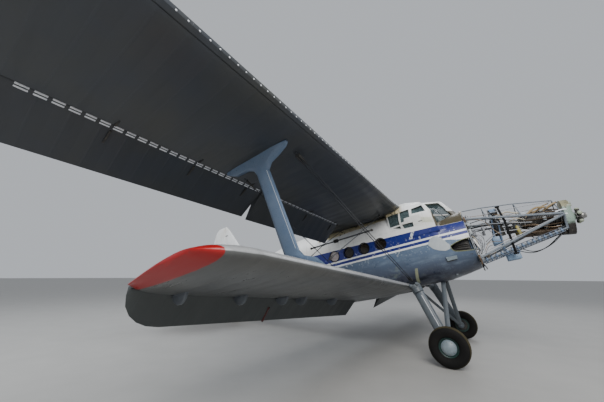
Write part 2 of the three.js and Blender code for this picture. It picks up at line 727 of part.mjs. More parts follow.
// Flying and landing wires of one side, clamped to the spreader rod where they cross
function bracingWires() {
  const { y, z, front, back, radius } = spreader;
  const wires = wireRuns.flatMap(({ low, rod, high }) => [
    bar(low, [rod, y, z], wireRadius, wireRadius, 6), bar([rod, y, z], high, wireRadius, wireRadius, 6),
    bar([rod - 16, y, z], [rod + 16, y, z], 24, 24, 8),
  ]);
  return joined([bar([front, y, z], [back, y, z], radius, radius, 8), ...wires])
    .subtract(wingKeepOut(lowerWing)).subtract(wingKeepOut(upperWing))
    .subtract(fuselageLoft(-1000, -4500, -gap));
}

// Landing gear

function shockLeg() {
  const { stub, collar, knee } = gear;
  const down = (t) => collar.map((v, i) => v + (knee[i] - v) * t);
  return joined([bar(stub, down(0.02), 75, 62, 12), bar(down(-0.04), down(0.09), 128, 82, 14),
    bar(down(0.04), down(0.86), 115, 62, 14), bar(down(0.82), down(1), 48, 48, 12)])
    .subtract(wingKeepOut(lowerWing)).subtract(fuselageLoft(-1000, -4500, -gap));
}

function vFrame() {
  const { frontPin, rearPin, node } = gear;
  const legs = [bar(frontPin, node, 55, 34, 12), bar(rearPin, node, 42, 28, 12), ball(node, 62, 12)];
  return joined(legs).subtract(fuselageLoft(-400, -4500, -gap)).subtract(shockLegKeepOut());
}

// The foot of the shock leg made a touch larger, to cut back what meets it
function shockLegKeepOut() {
  const { collar, knee } = gear;
  const up = (t) => knee.map((v, i) => v + (collar[i] - v) * t);
  return bar(up(0.2), up(-0.003), 50, 50, 12);
}

function mainAxle() {
  const y0 = gear.node[1] + 62 + gap;
  const carrier = bar([axle.x, y0, axle.z], [axle.x, axle.y - 80, axle.z], 62, 62, 16);
  const spindle = bar([axle.x, axle.y - 81, axle.z], [axle.x, axle.y + 60, axle.z], 32, 32, 16);
  return carrier.add(spindle).subtract(shockLegKeepOut());
}

function lathed(points, segments) {
  const geometry = new THREE.LatheGeometry(points.map(([r, y]) => new THREE.Vector2(r, y)), segments);
  return solidOf(outward(mergedLathe(geometry)));
}

function mergedLathe(geometry) {
  geometry.deleteAttribute('normal');
  geometry.deleteAttribute('uv');
  return mergeVertices(geometry, 1e-3);
}

// Radius and sideways pairs, once round the section
function tyreProfile({ radius, width }, rim) {
  const half = width / 2;
  const side = [
    [rim, half * 0.55], [rim + 30, half * 0.82], [(radius + rim) / 2 + 10, half],
    [radius - 45, half * 0.86], [radius - 8, half * 0.42],
  ];
  const other = side.map(([r, across]) => [r, -across]);
  return [...other, [radius, 0], ...side.slice().reverse(), other[0]];
}

function mainHub() {
  const rim = 190 - gap;
  return [
    [34, -70], [170, -75], [rim, -64], [rim, 64], [178, 78], [150, 74], [128, 82],
    [120, 105], [92, 128], [50, 140], [0, 144], [0, 62], [34, 62], [34, -70],
  ];
}

function tailHub() {
  const rim = 110 - gap;
  return [[22, -62], [95, -66], [rim, -50], [rim, 50], [95, 66], [22, 62], [22, -62]];
}

// Engine bay

function firewall() {
  const geometry = new THREE.CylinderGeometry(776, 776, 18, 40);
  geometry.rotateZ(Math.PI / 2);
  geometry.translate(9 + gap, 0, 0);
  return solidOf(geometry);
}

function engineMount() {
  const port = mountTubes.map(({ from, to, radius }) => bar(from, to, radius, radius, 8));
  const feet = mountFeet.map(([y, z]) => bar([20, y, z], [70, y, z], 60, 60, 10));
  const posts = railPosts.map((p) => bar([p.x, 0, p.z], [p.x, p.y, p.foot], 11, 11, 6));
  const half = joined([...port, ...feet, ...posts]);
  const top = rail.slice(1).map(([x, z], i) => bar([rail[i][0], 0, rail[i][1]], [x, 0, z], 13, 13, 8));
  return joined([half, mirrored(half), ...top]).subtract(gearboxCasing(gap));
}

// Places a body drawn along the engine axis, with X measured forward from the middle of the gearbox
function onEngineAxis(geometry) {
  geometry.rotateY(degrees(engine.droop));
  geometry.translate(engine.x, 0, engine.z);
  return solidOf(outward(geometry));
}

// A round body about the engine axis, from radius and x pairs
function turned(points, segments) {
  const outline = points.map(([r, x]) => new THREE.Vector2(r, x));
  const geometry = mergedLathe(new THREE.LatheGeometry(outline, segments));
  geometry.rotateZ(-Math.PI / 2);
  return onEngineAxis(outward(geometry));
}

function engineCore() {
  const { rear, front, radius } = engine;
  return turned([[0, rear], [130, rear], [155, rear + 40], [155, rear + 260], [radius, rear + 300],
    [radius, front - 180], [170, front - 130], [170, front], [0, front]], 24);
}

// The upright oval casting, made larger all round by a margin
function gearboxCasing(margin = 0) {
  const { depth, halfWidth, halfHeight } = engine.casing;
  const casing = new THREE.CylinderGeometry(1, 1, depth + 2 * margin, 32);
  casing.rotateZ(Math.PI / 2);
  casing.scale(1, halfWidth + margin, halfHeight + margin);
  return onEngineAxis(casing);
}

function gearbox() {
  return gearboxCasing().add(turned([[0, 60], [175, 60], [150, 95], [95, 130], [0, 130]], 24));
}

// The bare hub, with its blade sockets all round
function propellerHubBody() {
  const { from, to, radius, socketRadius, socketReach, sockets } = propellerHub;
  const outline = [[0, from], [60, from], [radius, from + 15], [radius, to - 60], [60, to], [0, to]];
  const barrel = turned(outline, 24);
  const middle = from + 65;
  const stubs = Array.from({ length: sockets }, (_, k) => {
    const angle = Math.PI / 2 + (2 * Math.PI * k) / sockets;
    const geometry = new THREE.CylinderGeometry(socketRadius, socketRadius, socketReach - 20, 12);
    geometry.translate(0, (socketReach + 20) / 2, 0);
    geometry.rotateX(angle);
    geometry.translate(middle, 0, 0);
    return onEngineAxis(geometry);
  });
  return joined([barrel, ...stubs]);
}

// Cockpit furniture

function seat() {
  const pan = block([-1450, 210, -160], [-1010, 650, -60]);
  const back = block([-1540, 210, -160], [-1450, 650, 560]);
  const base = block([-1380, 290, floorZ + gap], [-1100, 570, -159]);
  return joined([pan, back, base]);
}

function instrumentPanel() {
  return block([-620, -640, 120], [-560, 640, 520]).add(block([-620, -120, floorZ + gap], [-560, 120, 121]));
}

// Tail wheel, drawn level and placed on the floor by the ground angle

const tilt = degrees(groundAngle);
function levelFromGround(x, z) {
  return [axle.x + x * Math.cos(tilt) + z * Math.sin(tilt), axle.z - x * Math.sin(tilt) + z * Math.cos(tilt)];
}
const [tailAxleX, tailAxleZ] = levelFromGround(-wheelbase, tailTyre.radius - mainTyre.radius);
const swivel = { x: tailAxleX + 150, top: -330, bottom: -430 };

function tailLeg() {
  const post = bar([swivel.x, 0, swivel.bottom + 2], [swivel.x, 0, -180], 60, 60, 14);
  const stay = bar([swivel.x + 60, 0, swivel.bottom + 30], [swivel.x + 520, 0, -250], 34, 34, 10);
  return post.add(stay).subtract(fuselageLoft(-7000, -9360, -gap));
}

function tailFork() {
  const half = tailTyre.width / 2 + 26;
  const low = [swivel.x - 75, -half - 16, swivel.bottom - 38];
  const crown = block(low, [swivel.x + 75, half + 16, swivel.bottom - 4]);
  const arm = bar([swivel.x - 10, half, swivel.bottom - 20], [tailAxleX, half, tailAxleZ], 34, 15, 10);
  const pin = bar([tailAxleX, -half - 26, tailAxleZ], [tailAxleX, half + 26, tailAxleZ], 20, 20, 12);
  return joined([crown, arm, mirrored(arm), pin]);
}

const aircraft = new THREE.Group();
const airframe = new THREE.Group();
aircraft.add(airframe);

function add(name, solid, colour, parent = airframe) {
  const mesh = new THREE.Mesh(geometryOf(solid), new THREE.MeshStandardMaterial(colours[colour]));
  mesh.name = name;
  parent.add(mesh);
}

function addPair(name, solid, colour) {
  add(`${name}_left`, solid, colour);
  add(`${name}_right`, mirrored(solid), colour);
}

add('nose_fuselage', noseFuselage(), 'white');
add('cabin_fuselage', cabinFuselage(), 'white');
add('tail_fuselage', tailFuselage(), 'white');
add('cargo_door', cargoDoorPanel(), 'white');
add('passenger_door', passengerDoorPanel(), 'white');
add('windscreen_glass', canopySheet(block([-765, -1000, 500], [0, 1000, 1250])), 'glass');
add('cockpit_side_glass_left', canopySheet(block([-1790, 500, 520], [-775, 1100, 1130])), 'glass');
add('cockpit_side_glass_right', canopySheet(block([-1790, -1100, 520], [-775, -500, 1130])), 'glass');
add('cabin_glazing_left', cabinGlazing(cabinWindow.x.slice(0, 3)), 'glass');
add('cabin_glazing_right', mirrored(cabinGlazing(cabinWindow.x)), 'glass');
addPair('pilot_seat', seat(), 'seat');
add('instrument_panel', instrumentPanel(), 'darkMetal');

add('wing_centre_section', centreSectionBlock().subtract(fuselageLoft(-1000, -4500, -gap))
  .subtract(trimmedCanopy(-gap)), 'white');
addPair('upper_wing', upperWingPanel(), 'wingGrey');
addPair('slat', slatPanel(), 'wingGrey');
addPair('upper_flap', hinged('upper_flap'), 'wingGrey');
addPair('aileron', hinged('aileron'), 'wingGrey');
addPair('lower_wing', lowerWingPanel(), 'wingGrey');
addPair('lower_flap', hinged('lower_flap'), 'wingGrey');
addPair('interplane_strut', interplaneStrut(), 'strutGrey');
addPair('bracing_wires', bracingWires(), 'steel');

add('fin', finBody(), 'white');
add('rudder', rudderBody(), 'white');
addPair('tailplane', tailplaneBody(), 'white');
addPair('elevator', elevatorBody(), 'white');
addPair('tailplane_strut', tailStrut(), 'strutGrey');

addPair('shock_leg', shockLeg(), 'strutGrey');
addPair('gear_v_frame', vFrame(), 'strutGrey');
addPair('main_axle', mainAxle(), 'steel');
add('tail_leg', tailLeg(), 'strutGrey');
add('tail_fork', tailFork(), 'strutGrey');

add('firewall', firewall(), 'darkMetal');
add('engine_mount', engineMount(), 'steel');
add('engine_core', engineCore(), 'darkMetal');
add('gearbox', gearbox(), 'gearbox');
add('propeller_hub', propellerHubBody(), 'steel');

// The wheels are placed upright, so that their lowest points touch the floor
function wheel(name, geometryPoints, segments, colour, place, side) {
  const solid = lathed(geometryPoints, segments);
  const mesh = new THREE.Mesh(geometryOf(solid), new THREE.MeshStandardMaterial(colours[colour]));
  mesh.name = name;
  mesh.position.set(...place);
  mesh.rotation.z = side > 0 ? 0 : Math.PI;
  aircraft.add(mesh);
}

[['left', 1], ['right', -1]].forEach(([name, side]) => {
  const place = [0, side * axle.y, mainTyre.radius];
  wheel(`main_tyre_${name}`, tyreProfile(mainTyre, 190), 36, 'rubber', place, side);
  wheel(`main_hub_${name}`, mainHub(), 36, 'rim', place, side);
});
const tailPlace = [-wheelbase, 0, tailTyre.radius];
wheel('tail_tyre', tyreProfile(tailTyre, 110), 32, 'rubber', tailPlace, 1);
wheel('tail_hub', tailHub(), 32, 'rim', tailPlace, 1);

// Tip the airframe nose up about the main axle, which stands one tyre radius over the floor
airframe.rotation.y = -tilt;
const pivot = new THREE.Vector3(axle.x, 0, axle.z).applyAxisAngle(new THREE.Vector3(0, 1, 0), -tilt);
airframe.position.set(-pivot.x, 0, mainTyre.radius - pivot.z);

aircraft.updateMatrixWorld(true);
const bounds = new THREE.Box3().setFromObject(aircraft, true);
aircraft.position.x = -(bounds.min.x + bounds.max.x) / 2;

export default aircraft;
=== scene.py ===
import json
import math

import bpy
from mathutils import Euler, Matrix, Vector
from mathutils.bvhtree import BVHTree

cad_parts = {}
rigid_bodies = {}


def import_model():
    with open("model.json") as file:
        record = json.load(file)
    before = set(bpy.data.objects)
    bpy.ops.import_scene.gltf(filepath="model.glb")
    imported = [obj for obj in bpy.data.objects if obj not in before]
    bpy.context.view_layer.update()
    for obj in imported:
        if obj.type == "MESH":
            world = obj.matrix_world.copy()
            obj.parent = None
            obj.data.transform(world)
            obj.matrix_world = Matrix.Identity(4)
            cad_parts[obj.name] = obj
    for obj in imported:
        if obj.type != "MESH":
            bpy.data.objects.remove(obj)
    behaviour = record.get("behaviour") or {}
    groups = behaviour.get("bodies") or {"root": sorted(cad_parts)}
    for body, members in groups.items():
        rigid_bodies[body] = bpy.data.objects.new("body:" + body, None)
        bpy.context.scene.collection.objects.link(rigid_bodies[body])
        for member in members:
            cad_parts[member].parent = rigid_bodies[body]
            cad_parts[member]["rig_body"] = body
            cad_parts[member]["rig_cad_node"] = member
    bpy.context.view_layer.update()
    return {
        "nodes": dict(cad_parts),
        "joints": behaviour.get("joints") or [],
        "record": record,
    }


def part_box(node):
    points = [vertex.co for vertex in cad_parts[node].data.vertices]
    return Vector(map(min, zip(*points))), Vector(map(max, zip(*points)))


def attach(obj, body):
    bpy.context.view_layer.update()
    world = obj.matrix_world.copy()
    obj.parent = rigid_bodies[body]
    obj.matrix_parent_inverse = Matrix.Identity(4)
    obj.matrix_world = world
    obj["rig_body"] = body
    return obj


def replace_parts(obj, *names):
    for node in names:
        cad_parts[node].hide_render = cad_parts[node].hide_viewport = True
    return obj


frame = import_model()
print("frame loaded")

# Level coordinates: metres, x forward from the firewall, y to port, z up from the thrust line. The aircraft
# stands nose up by the ground angle, so what is drawn level is turned about the main axle.
groundAngle = math.radians(11.84)
axle = Vector((-1.116, 0, -2.224))
wheelHeight = 0.4
wheelX = next(j for j in frame["joints"] if j["name"] == "main_wheel_left_spin")["pos_m"][0]
turn = Matrix.Rotation(-groundAngle, 4, "Y")
levelOrigin = Vector((wheelX, 0, wheelHeight)) - turn @ axle
toWorld = Matrix.Translation(levelOrigin) @ turn


# Shader expressions

class Signal:  # an output socket in a material's node tree
    def __init__(self, tree, socket=None):
        self.tree, self.socket = tree, socket

    def make(self, kind, settings=None, values=None, out=0):
        node = self.tree.nodes.new(kind)
        for name, value in (settings or {}).items():
            if name == "stops":
                ramp = node.color_ramp.elements
                while len(ramp) < len(value):
                    ramp.new(0.5)
                for stop, (position, colour) in zip(ramp, value):
                    stop.position, stop.color = position, colour
            else:
                setattr(node, name, value)
        for name, value in (values or {}).items():
            if isinstance(value, Signal):
                self.tree.links.new(value.socket, node.inputs[name])
            else:
                node.inputs[name].default_value = value
        return Signal(self.tree, node.outputs[out])

    def math(self, operation, first, second=None):
        values = {0: first} if second is None else {0: first, 1: second}
        return self.make("ShaderNodeMath", {"operation": operation}, values)

    def __add__(self, other):
        return self.math("ADD", self, other)

    __radd__ = __add__

    def __sub__(self, other):
        return self.math("SUBTRACT", self, other)

    def __rsub__(self, other):
        return self.math("SUBTRACT", other, self)

    def __mul__(self, other):
        return self.math("MULTIPLY", self, other)

    __rmul__ = __mul__

    def absolute(self):
        return self.math("ABSOLUTE", self)

    def upTo(self, other):  # the smaller of the two
        return self.math("MINIMUM", self, other)

    def atLeast(self, other):  # the larger of the two
        return self.math("MAXIMUM", self, other)

    def ramp(self, low, high, start=0.0, end=1.0):  # start below low, end above high
        values = {"Value": self, "From Min": low, "From Max": high, "To Min": start, "To Max": end}
        return self.make("ShaderNodeMapRange", {}, values)

    def repeat(self, pitch):  # distance to the nearest of lines a pitch apart
        return self.math("PINGPONG", self, pitch / 2)

    def over(self, under, colour):  # colour where this mask is 1, under elsewhere
        values = {"Factor": self, 6: under, 7: colour}
        return self.make("ShaderNodeMix", {"data_type": "RGBA"}, values, out=2)


def newMaterial(name, **uniform):
    material = bpy.data.materials.new(name)
    material.use_nodes = True
    tree = material.node_tree
    shader = tree.nodes["Principled BSDF"]
    for socket, value in uniform.items():
        shader.inputs[socket.replace("_", " ")].default_value = value
    return material, Signal(tree), shader


def feed(signal, shader, socket):
    signal.tree.links.new(signal.socket, shader.inputs[socket])


def worldPlace(flow):
    return flow.make("ShaderNodeTexCoord", out=3)


def ownNormal(flow):
    return flow.make("ShaderNodeTexCoord", out=1)


def levelPlace(flow):
    values = {"Vector": worldPlace(flow), "Location": levelOrigin, "Rotation": (0, -groundAngle, 0)}
    return flow.make("ShaderNodeMapping", {"vector_type": "TEXTURE"}, values)


def axes(vector):
    split = vector.make("ShaderNodeSeparateXYZ", {}, {"Vector": vector})
    node = split.socket.node
    return [Signal(vector.tree, output) for output in node.outputs]


def noise(vector, scale, detail=3.0, rough=0.5):
    values = {"Vector": vector, "Scale": scale, "Detail": detail, "Roughness": rough}
    return vector.make("ShaderNodeTexNoise", {}, values)


def stretched(vector, scale):
    return vector.make("ShaderNodeMapping", {}, {"Vector": vector, "Scale": scale})


def bump(shader, height, distance):
    values = {"Height": height, "Distance": distance, "Strength": 1.0}
    feed(height.make("ShaderNodeBump", {}, values), shader, "Normal")


def rgb(red, green, blue):
    return (red, green, blue, 1.0)


# Camera, floor and light

view = {"place": (0.915, -8.592, 1.815), "yaw": 123.79, "pitch": 15.46, "roll": 0.3, "focalPixels": 271.15,
        "imageWidth": 604, "sensor": 36.0}


def addCamera():
    yaw, pitch, roll = (math.radians(view[k]) for k in ("yaw", "pitch", "roll"))
    forward = Vector((math.cos(yaw) * math.cos(pitch), math.sin(yaw) * math.cos(pitch), math.sin(pitch)))
    level = Vector((math.sin(yaw), -math.cos(yaw), 0))
    above = level.cross(forward)
    right = math.cos(roll) * level + math.sin(roll) * above
    up = math.cos(roll) * above - math.sin(roll) * level
    x, y, z = view["place"]
    bpy.ops.object.camera_add(location=(wheelX + x, y, z))
    camera = bpy.context.object
    camera.rotation_euler = Matrix((right, up, -forward)).transposed().to_euler()
    camera.data.sensor_width = view["sensor"]
    camera.data.lens = view["sensor"] * view["focalPixels"] / view["imageWidth"]
    camera.data.clip_end = 400
    bpy.context.scene.camera = camera


studio = {
    "sky": rgb(0.86, 0.90, 0.96), "skyStrength": 0.60, "floor": rgb(0.40, 0.395, 0.38), "floorSize": 400,
    "lamps": [
        {"place": (9, -13, 12), "aim": (0, 0, 1), "size": 9, "watts": 2600, "colour": (1.0, 0.98, 0.95)},
        {"place": (-9, -9, 14), "aim": (-2, 0, 1), "size": 10, "watts": 1200, "colour": (0.90, 0.95, 1.0)},
        {"place": (4, 12, 13), "aim": (0, 0, 1), "size": 10, "watts": 700, "colour": (0.95, 0.97, 1.0)},
    ],
}


def addStage():
    bpy.ops.mesh.primitive_plane_add(size=studio["floorSize"], location=(0, 0, 0))
    floor = bpy.context.object
    floor.name = "floor"
    material, flow, shader = newMaterial("pale floor", Roughness=0.6)
    speck = noise(worldPlace(flow), 1.5, 5.0)
    pale = studio["floor"]
    feed(speck.ramp(0.3, 0.7).over(pale, rgb(*(c * 0.93 for c in pale[:3]))), shader, "Base Color")
    floor.data.materials.append(material)
    world = bpy.data.worlds.new("studio")
    world.use_nodes = True
    background = world.node_tree.nodes["Background"]
    background.inputs["Color"].default_value = studio["sky"]
    background.inputs["Strength"].default_value = studio["skyStrength"]
    bpy.context.scene.world = world
    for lamp in studio["lamps"]:
        bpy.ops.object.light_add(type="AREA", location=lamp["place"])
        light = bpy.context.object
        light.rotation_euler = (Vector(lamp["aim"]) - light.location).to_track_quat("-Z", "Y").to_euler()
        light.data.size = lamp["size"]
        light.data.energy = lamp["watts"]
        light.data.color = lamp["colour"]


addCamera()
addStage()
print("camera, floor and light set")

# Finishes

fuselagePaint = {
    "white": rgb(0.80, 0.81, 0.81), "cream": rgb(0.58, 0.53, 0.42), "blue": rgb(0.006, 0.016, 0.165),
    "grey": rgb(0.108, 0.162, 0.252), "belly": rgb(0.035, 0.040, 0.062), "chip": rgb(0.62, 0.66, 0.68),
    "cabin": rgb(0.36, 0.37, 0.31), "cabinWorn": rgb(0.27, 0.27, 0.21), "cabinSeam": rgb(0.09, 0.09, 0.07),
    "streak": rgb(0.40, 0.40, 0.37), "fairing": rgb(0.60, 0.51, 0.30), "hole": rgb(0.03, 0.025, 0.015),
    "patch": rgb(0.46, 0.48, 0.34), "noseDeck": rgb(0.060, 0.048, 0.022), "greyWorn": rgb(0.22, 0.29, 0.36),
    "primer": rgb(0.20, 0.24, 0.20), "seam": rgb(0.05, 0.055, 0.06),
    "bandTop": 0.397, "bandRise": -0.0343, "bandFoot": 0.183, "line": 0.100, "lineHalf": 0.034,
    "greyTop": 0.018, "framePitch": 0.42, "rivetPitch": 0.035, "stringerPitch": 0.24, "seamPitch": 0.60,
}


def dots(distance):  # a mask round lines of rivets
    return distance.ramp(0.002, 0.005, 1.0, 0.0)


def makeFuselagePaint():
    p = fuselagePaint
    material, flow, shader = newMaterial("fuselage paint", Coat_Roughness=0.2)
    place = levelPlace(flow)
    x, y, z = axes(place)
    ragged = (noise(place, 9.0, 6.0, 0.65) - 0.5) * 0.025
    top = x * p["bandRise"] + p["bandTop"]
    cloud = noise(place, 1.1, 5.0)
    colour = cloud.ramp(0.48, 0.75, 0.0, 0.55).over(p["white"], p["cream"])
    drips = noise(stretched(place, (5.0, 5.0, 0.35)), 2.0, 5.0, 0.6)
    colour = (drips.ramp(0.52, 0.72, 0.0, 0.35) * z.ramp(0.4, 0.7)).over(colour, p["streak"])
    underWing = (x + 2.75).absolute().ramp(1.35, 1.45, 1.0, 0.0)
    underWing = underWing * (z - 1.32).ramp(0.0, 0.02, 1.0, 0.0)
    fairing = (z - 0.975 - (x + 2.6) * 0.05 + ragged * 3).ramp(0.0, 0.02) * underWing
    colour = (fairing * 0.9).over(colour, p["fairing"])
    holes = noise(place, 12.0, 2.0).ramp(0.60, 0.64) * fairing
    colour = holes.over(colour, p["hole"])
    patch = ((x + 0.78).absolute() * 0.55).atLeast((z - 0.64 + (x + 0.78) * 0.3).absolute())
    colour = patch.ramp(0.060, 0.085, 0.6, 0.0).over(colour, p["patch"])
    deck = (z - top).ramp(0.0, 0.004) * (x + 0.64 + ragged).ramp(0.0, 0.02)
    colour = (deck * (z - 0.86).ramp(0.0, 0.01, 1.0, 0.0)).over(colour, p["noseDeck"])
    inBlue = (top - z).ramp(0.0, 0.004) * (z - p["bandFoot"]).ramp(0.0, 0.004)
    inLine = ((z - p["line"]).absolute()).ramp(p["lineHalf"], p["lineHalf"] + 0.004, 1.0, 0.0)
    below = (p["greyTop"] - (x + 0.50).ramp(0.0, 0.45, 0.0, 0.10) - z - ragged).ramp(0.0, 0.006)
    fade = noise(place, 0.8, 3.0).ramp(0.3, 0.7, -0.12, 0.12)
    # towards the bottom the grey darkens into the belly colour: painted shade
    grey = (z + fade + x * 0.10).ramp(-0.85, -0.15).over(p["belly"], p["grey"])
    worn = noise(stretched(place, (0.6, 0.6, 2.0)), 3.0, 6.0, 0.65)
    grey = worn.ramp(0.50, 0.72, 0.0, 0.45).over(grey, p["greyWorn"])
    primer = noise(place, 2.3, 5.0, 0.6).ramp(0.60, 0.66) * (x + 3.2).absolute().ramp(1.0, 2.2, 1.0, 0.0)
    grey = (primer * 0.5).over(grey, p["primer"])
    colour = inBlue.over(colour, p["blue"])
    colour = inLine.over(colour, p["blue"])
    colour = below.over(colour, grey)
    nearEdge = ((z - 0.08).absolute()).ramp(0.08, 0.30, 1.0, 0.0)
    front = (x + 1.2).ramp(0.0, 0.5)
    flakes = noise(place, 15.0, 6.0, 0.62)
    chips = flakes.ramp(0.605, 0.62) * nearEdge.atLeast(0.05) * (0.55 + front * 0.45)
    scrape = ((x + 1.26 - (z - 0.36) * 0.6).absolute() * 2.2).atLeast((z - 0.36).absolute()) + ragged * 5
    chips = chips.atLeast(scrape.ramp(0.085, 0.11, 1.0, 0.0) * noise(place, 30.0, 3.0).ramp(0.40, 0.46))
    colour = (chips * (inBlue.atLeast(inLine).atLeast(below))).over(colour, p["chip"])
    seam = x.repeat(p["framePitch"]).ramp(0.0, 0.0035, 1.0, 0.0)
    seam = seam.atLeast(z.repeat(p["seamPitch"]).ramp(0.0, 0.003, 1.0, 0.0))
    rows = dots((x + 0.018).repeat(p["framePitch"])) * dots(z.repeat(p["rivetPitch"]))
    rivets = rows.atLeast(dots(z.repeat(p["stringerPitch"])) * dots(x.repeat(p["rivetPitch"])))
    colour = (seam * 0.45).over(colour, p["seam"])
    across, above = axes(ownNormal(flow))[1:]
    inside = (across * y + above * (z - 0.2)).ramp(-0.36, -0.32, 1.0, 0.0)
    walls = cloud.ramp(0.4, 0.7).over(p["cabin"], p["cabinWorn"])
    colour = inside.over(colour, (seam * 0.5).over(walls, p["cabinSeam"]))
    feed(colour, shader, "Base Color")
    feed(noise(place, 5.0, 4.0).ramp(0.3, 0.7, 0.26, 0.44) + chips * 0.2 + inside * 0.2, shader, "Roughness")
    dents = noise(place, 2.2, 2.0) * 0.6 - chips * 0.05 - seam * 0.16 + rivets * 0.12
    bump(shader, dents, 0.012)
    return material


# the first two colours are the upper wing's silver paint in painted shade, for its underside
wingPaint = {
    "shadedSlate": rgb(0.040, 0.047, 0.060), "shadedOlive": rgb(0.050, 0.052, 0.048),
    "silver": rgb(0.36, 0.37, 0.38), "silverDark": rgb(0.28, 0.285, 0.29), "red": rgb(0.32, 0.003, 0.004),
    "smudge": rgb(0.16, 0.075, 0.025), "ribPitch": 0.30, "stitchPitch": 0.06, "redFrom": 6.95,
}


def makeWingPaint(name, under, underPatch, roughness, redTipAndLitEdge=False):
    p = wingPaint
    material, flow, shader = newMaterial(name, Coat_Roughness=0.3)
    place = levelPlace(flow)
    x, y, z = axes(place)
    facing = axes(ownNormal(flow))[2]
    cloud = noise(place, 0.8, 4.0)
    top = cloud.ramp(0.35, 0.65).over(p["silver"], p["silverDark"])
    # the under colours are the silver paint darkened where the surface faces down: painted shade on the
    # undersides
    below = cloud.ramp(0.40, 0.70).over(under, underPatch)
    # with the red tip, the silver top colour also reaches further round the leading edge: a painted highlight
    litFrom = 0.02 if redTipAndLitEdge else 0.30
    colour = (facing + (noise(place, 3.0) - 0.5) * 0.15).ramp(litFrom, litFrom + 0.20).over(below, top)
    grime = noise(stretched(place, (0.4, 3.0, 1.0)), 2.5, 6.0, 0.65)
    colour = grime.ramp(0.52, 0.85, 0.0, 0.35).over(colour, rgb(*(c * 0.6 for c in under[:3])))
    spots = noise(stretched(place, (1.0, 2.0, 1.0)), 4.5, 6.0, 0.7).ramp(0.70, 0.76)
    colour = (spots * 0.5).over(colour, p["smudge"])
    tapes = y.repeat(p["ribPitch"]).ramp(0.010, 0.016, 1.0, 0.0)
    stitches = tapes * x.repeat(p["stitchPitch"]).ramp(0.002, 0.006, 1.0, 0.0)
    stitches = stitches * y.repeat(p["ribPitch"]).ramp(0.001, 0.003, 1.0, 0.0)
    colour = (tapes * 0.10).over(colour, rgb(*(c * 1.35 for c in under[:3])))
    if redTipAndLitEdge:
        edge = y.absolute() + (x + 2.8).upTo(0.0) * 0.07 + (noise(place, 14.0, 4.0) - 0.5) * 0.012
        colour = edge.ramp(p["redFrom"], p["redFrom"] + 0.008).over(colour, p["red"])
    feed(colour, shader, "Base Color")
    feed(grime.ramp(0.3, 0.8, roughness, roughness + 0.18), shader, "Roughness")
    sag = y.repeat(p["ribPitch"]) * -1.2
    bump(shader, sag + tapes * 0.03 + stitches * 0.06 + noise(place, 6.0, 3.0) * 0.02, 0.02)
    return material


def makePlainPaint(name, colour, second, roughness, metallic=0.0, scale=6.0, wear=None):
    material, flow, shader = newMaterial(name, Metallic=metallic)
    place = worldPlace(flow)
    cloud = noise(place, scale, 5.0, 0.6)
    made = cloud.ramp(0.35, 0.7).over(colour, second)
    fine = noise(place, scale * 12, 4.0, 0.6)
    if wear:
        made = fine.ramp(0.62, 0.68).over(made, wear)
    feed(made, shader, "Base Color")
    feed(fine.ramp(0.3, 0.7, roughness - 0.06, roughness + 0.1), shader, "Roughness")
    bump(shader, fine, 0.002)
    return material


gearboxPaint = {"green": rgb(0.28, 0.37, 0.31), "greenDark": rgb(0.19, 0.27, 0.23),
                "darkBelow": rgb(0.030, 0.026, 0.024), "crown": rgb(0.26, 0.22, 0.12),
                "grime": rgb(0.09, 0.085, 0.07)}


def makeGearboxPaint():  # pale green casting, darker below and brown at the top
    p = gearboxPaint
    material, flow, shader = newMaterial("gearbox casting")
    place = levelPlace(flow)
    x, y, z = axes(place)
    cloud = noise(place, 7.0, 5.0, 0.6)
    colour = cloud.ramp(0.35, 0.7).over(p["green"], p["greenDark"])
    grime = noise(place, 13.0, 5.0, 0.65)
    # darker towards the bottom of the casting
    colour = (z + grime * 0.10 - 0.05).ramp(-0.24, -0.18, 1.0, 0.0).over(colour, p["darkBelow"])
    colour = (z + grime * 0.16 - 0.08).ramp(0.14, 0.20, 0.0, 0.8).over(colour, p["crown"])
    colour = grime.ramp(0.60, 0.66, 0.0, 0.8).over(colour, p["grime"])
    feed(colour, shader, "Base Color")
    feed(grime.ramp(0.3, 0.7, 0.38, 0.6), shader, "Roughness")
    bump(shader, grime, 0.004)
    return material


def makeGlass(name, dark, pale, clearest, dullest):
    material, flow, shader = newMaterial(name, IOR=1.45)
    haze = noise(worldPlace(flow), 4.0, 5.0, 0.6)
    feed(haze.ramp(0.3, 0.8).over(dark, pale), shader, "Base Color")
    feed(haze.ramp(0.3, 0.8, 0.04, 0.14), shader, "Roughness")
    feed(haze.ramp(0.4, 0.8, clearest, dullest), shader, "Alpha")
    return material


def makeLeather(name, base, dark):  # leather or cloth with fine grain
    material, flow, shader = newMaterial(name)
    place = worldPlace(flow)
    grain = noise(place, 160.0, 3.0, 0.6)
    crease = noise(place, 9.0, 5.0, 0.6)
    feed(crease.ramp(0.35, 0.7).over(base, dark), shader, "Base Color")
    feed(grain.ramp(0.3, 0.7, 0.55, 0.75), shader, "Roughness")
    bump(shader, grain * 0.3 + crease, 0.004)
    return material


def makeRubber(name, base, dust, tread=None):  # tread: level x and z of the axle, mud and its radius
    material, flow, shader = newMaterial(name, Specular_IOR_Level=0.22)
    place = worldPlace(flow)
    cloud = noise(place, 5.0, 5.0, 0.6)
    fine = noise(place, 90.0, 4.0, 0.6)
    colour = (cloud.ramp(0.45, 0.75, 0.0, 0.6)).over(base, dust)
    if tread:
        x, y, z = axes(levelPlace(flow))
        across, above = x - tread["x"], z - tread["z"]
        outward = across * across + above * above
        mud = outward.ramp(tread["radius"] ** 2, (tread["radius"] + 0.012) ** 2)
        mud = mud * noise(place, 3.0, 5.0).ramp(0.3, 0.6, 0.2, 0.9)
        colour = mud.over(colour, tread["mud"])
    feed(colour, shader, "Base Color")
    feed(fine.ramp(0.3, 0.7, 0.66, 0.86), shader, "Roughness")
    bump(shader, fine * 0.4 + cloud, 0.002)
    return material


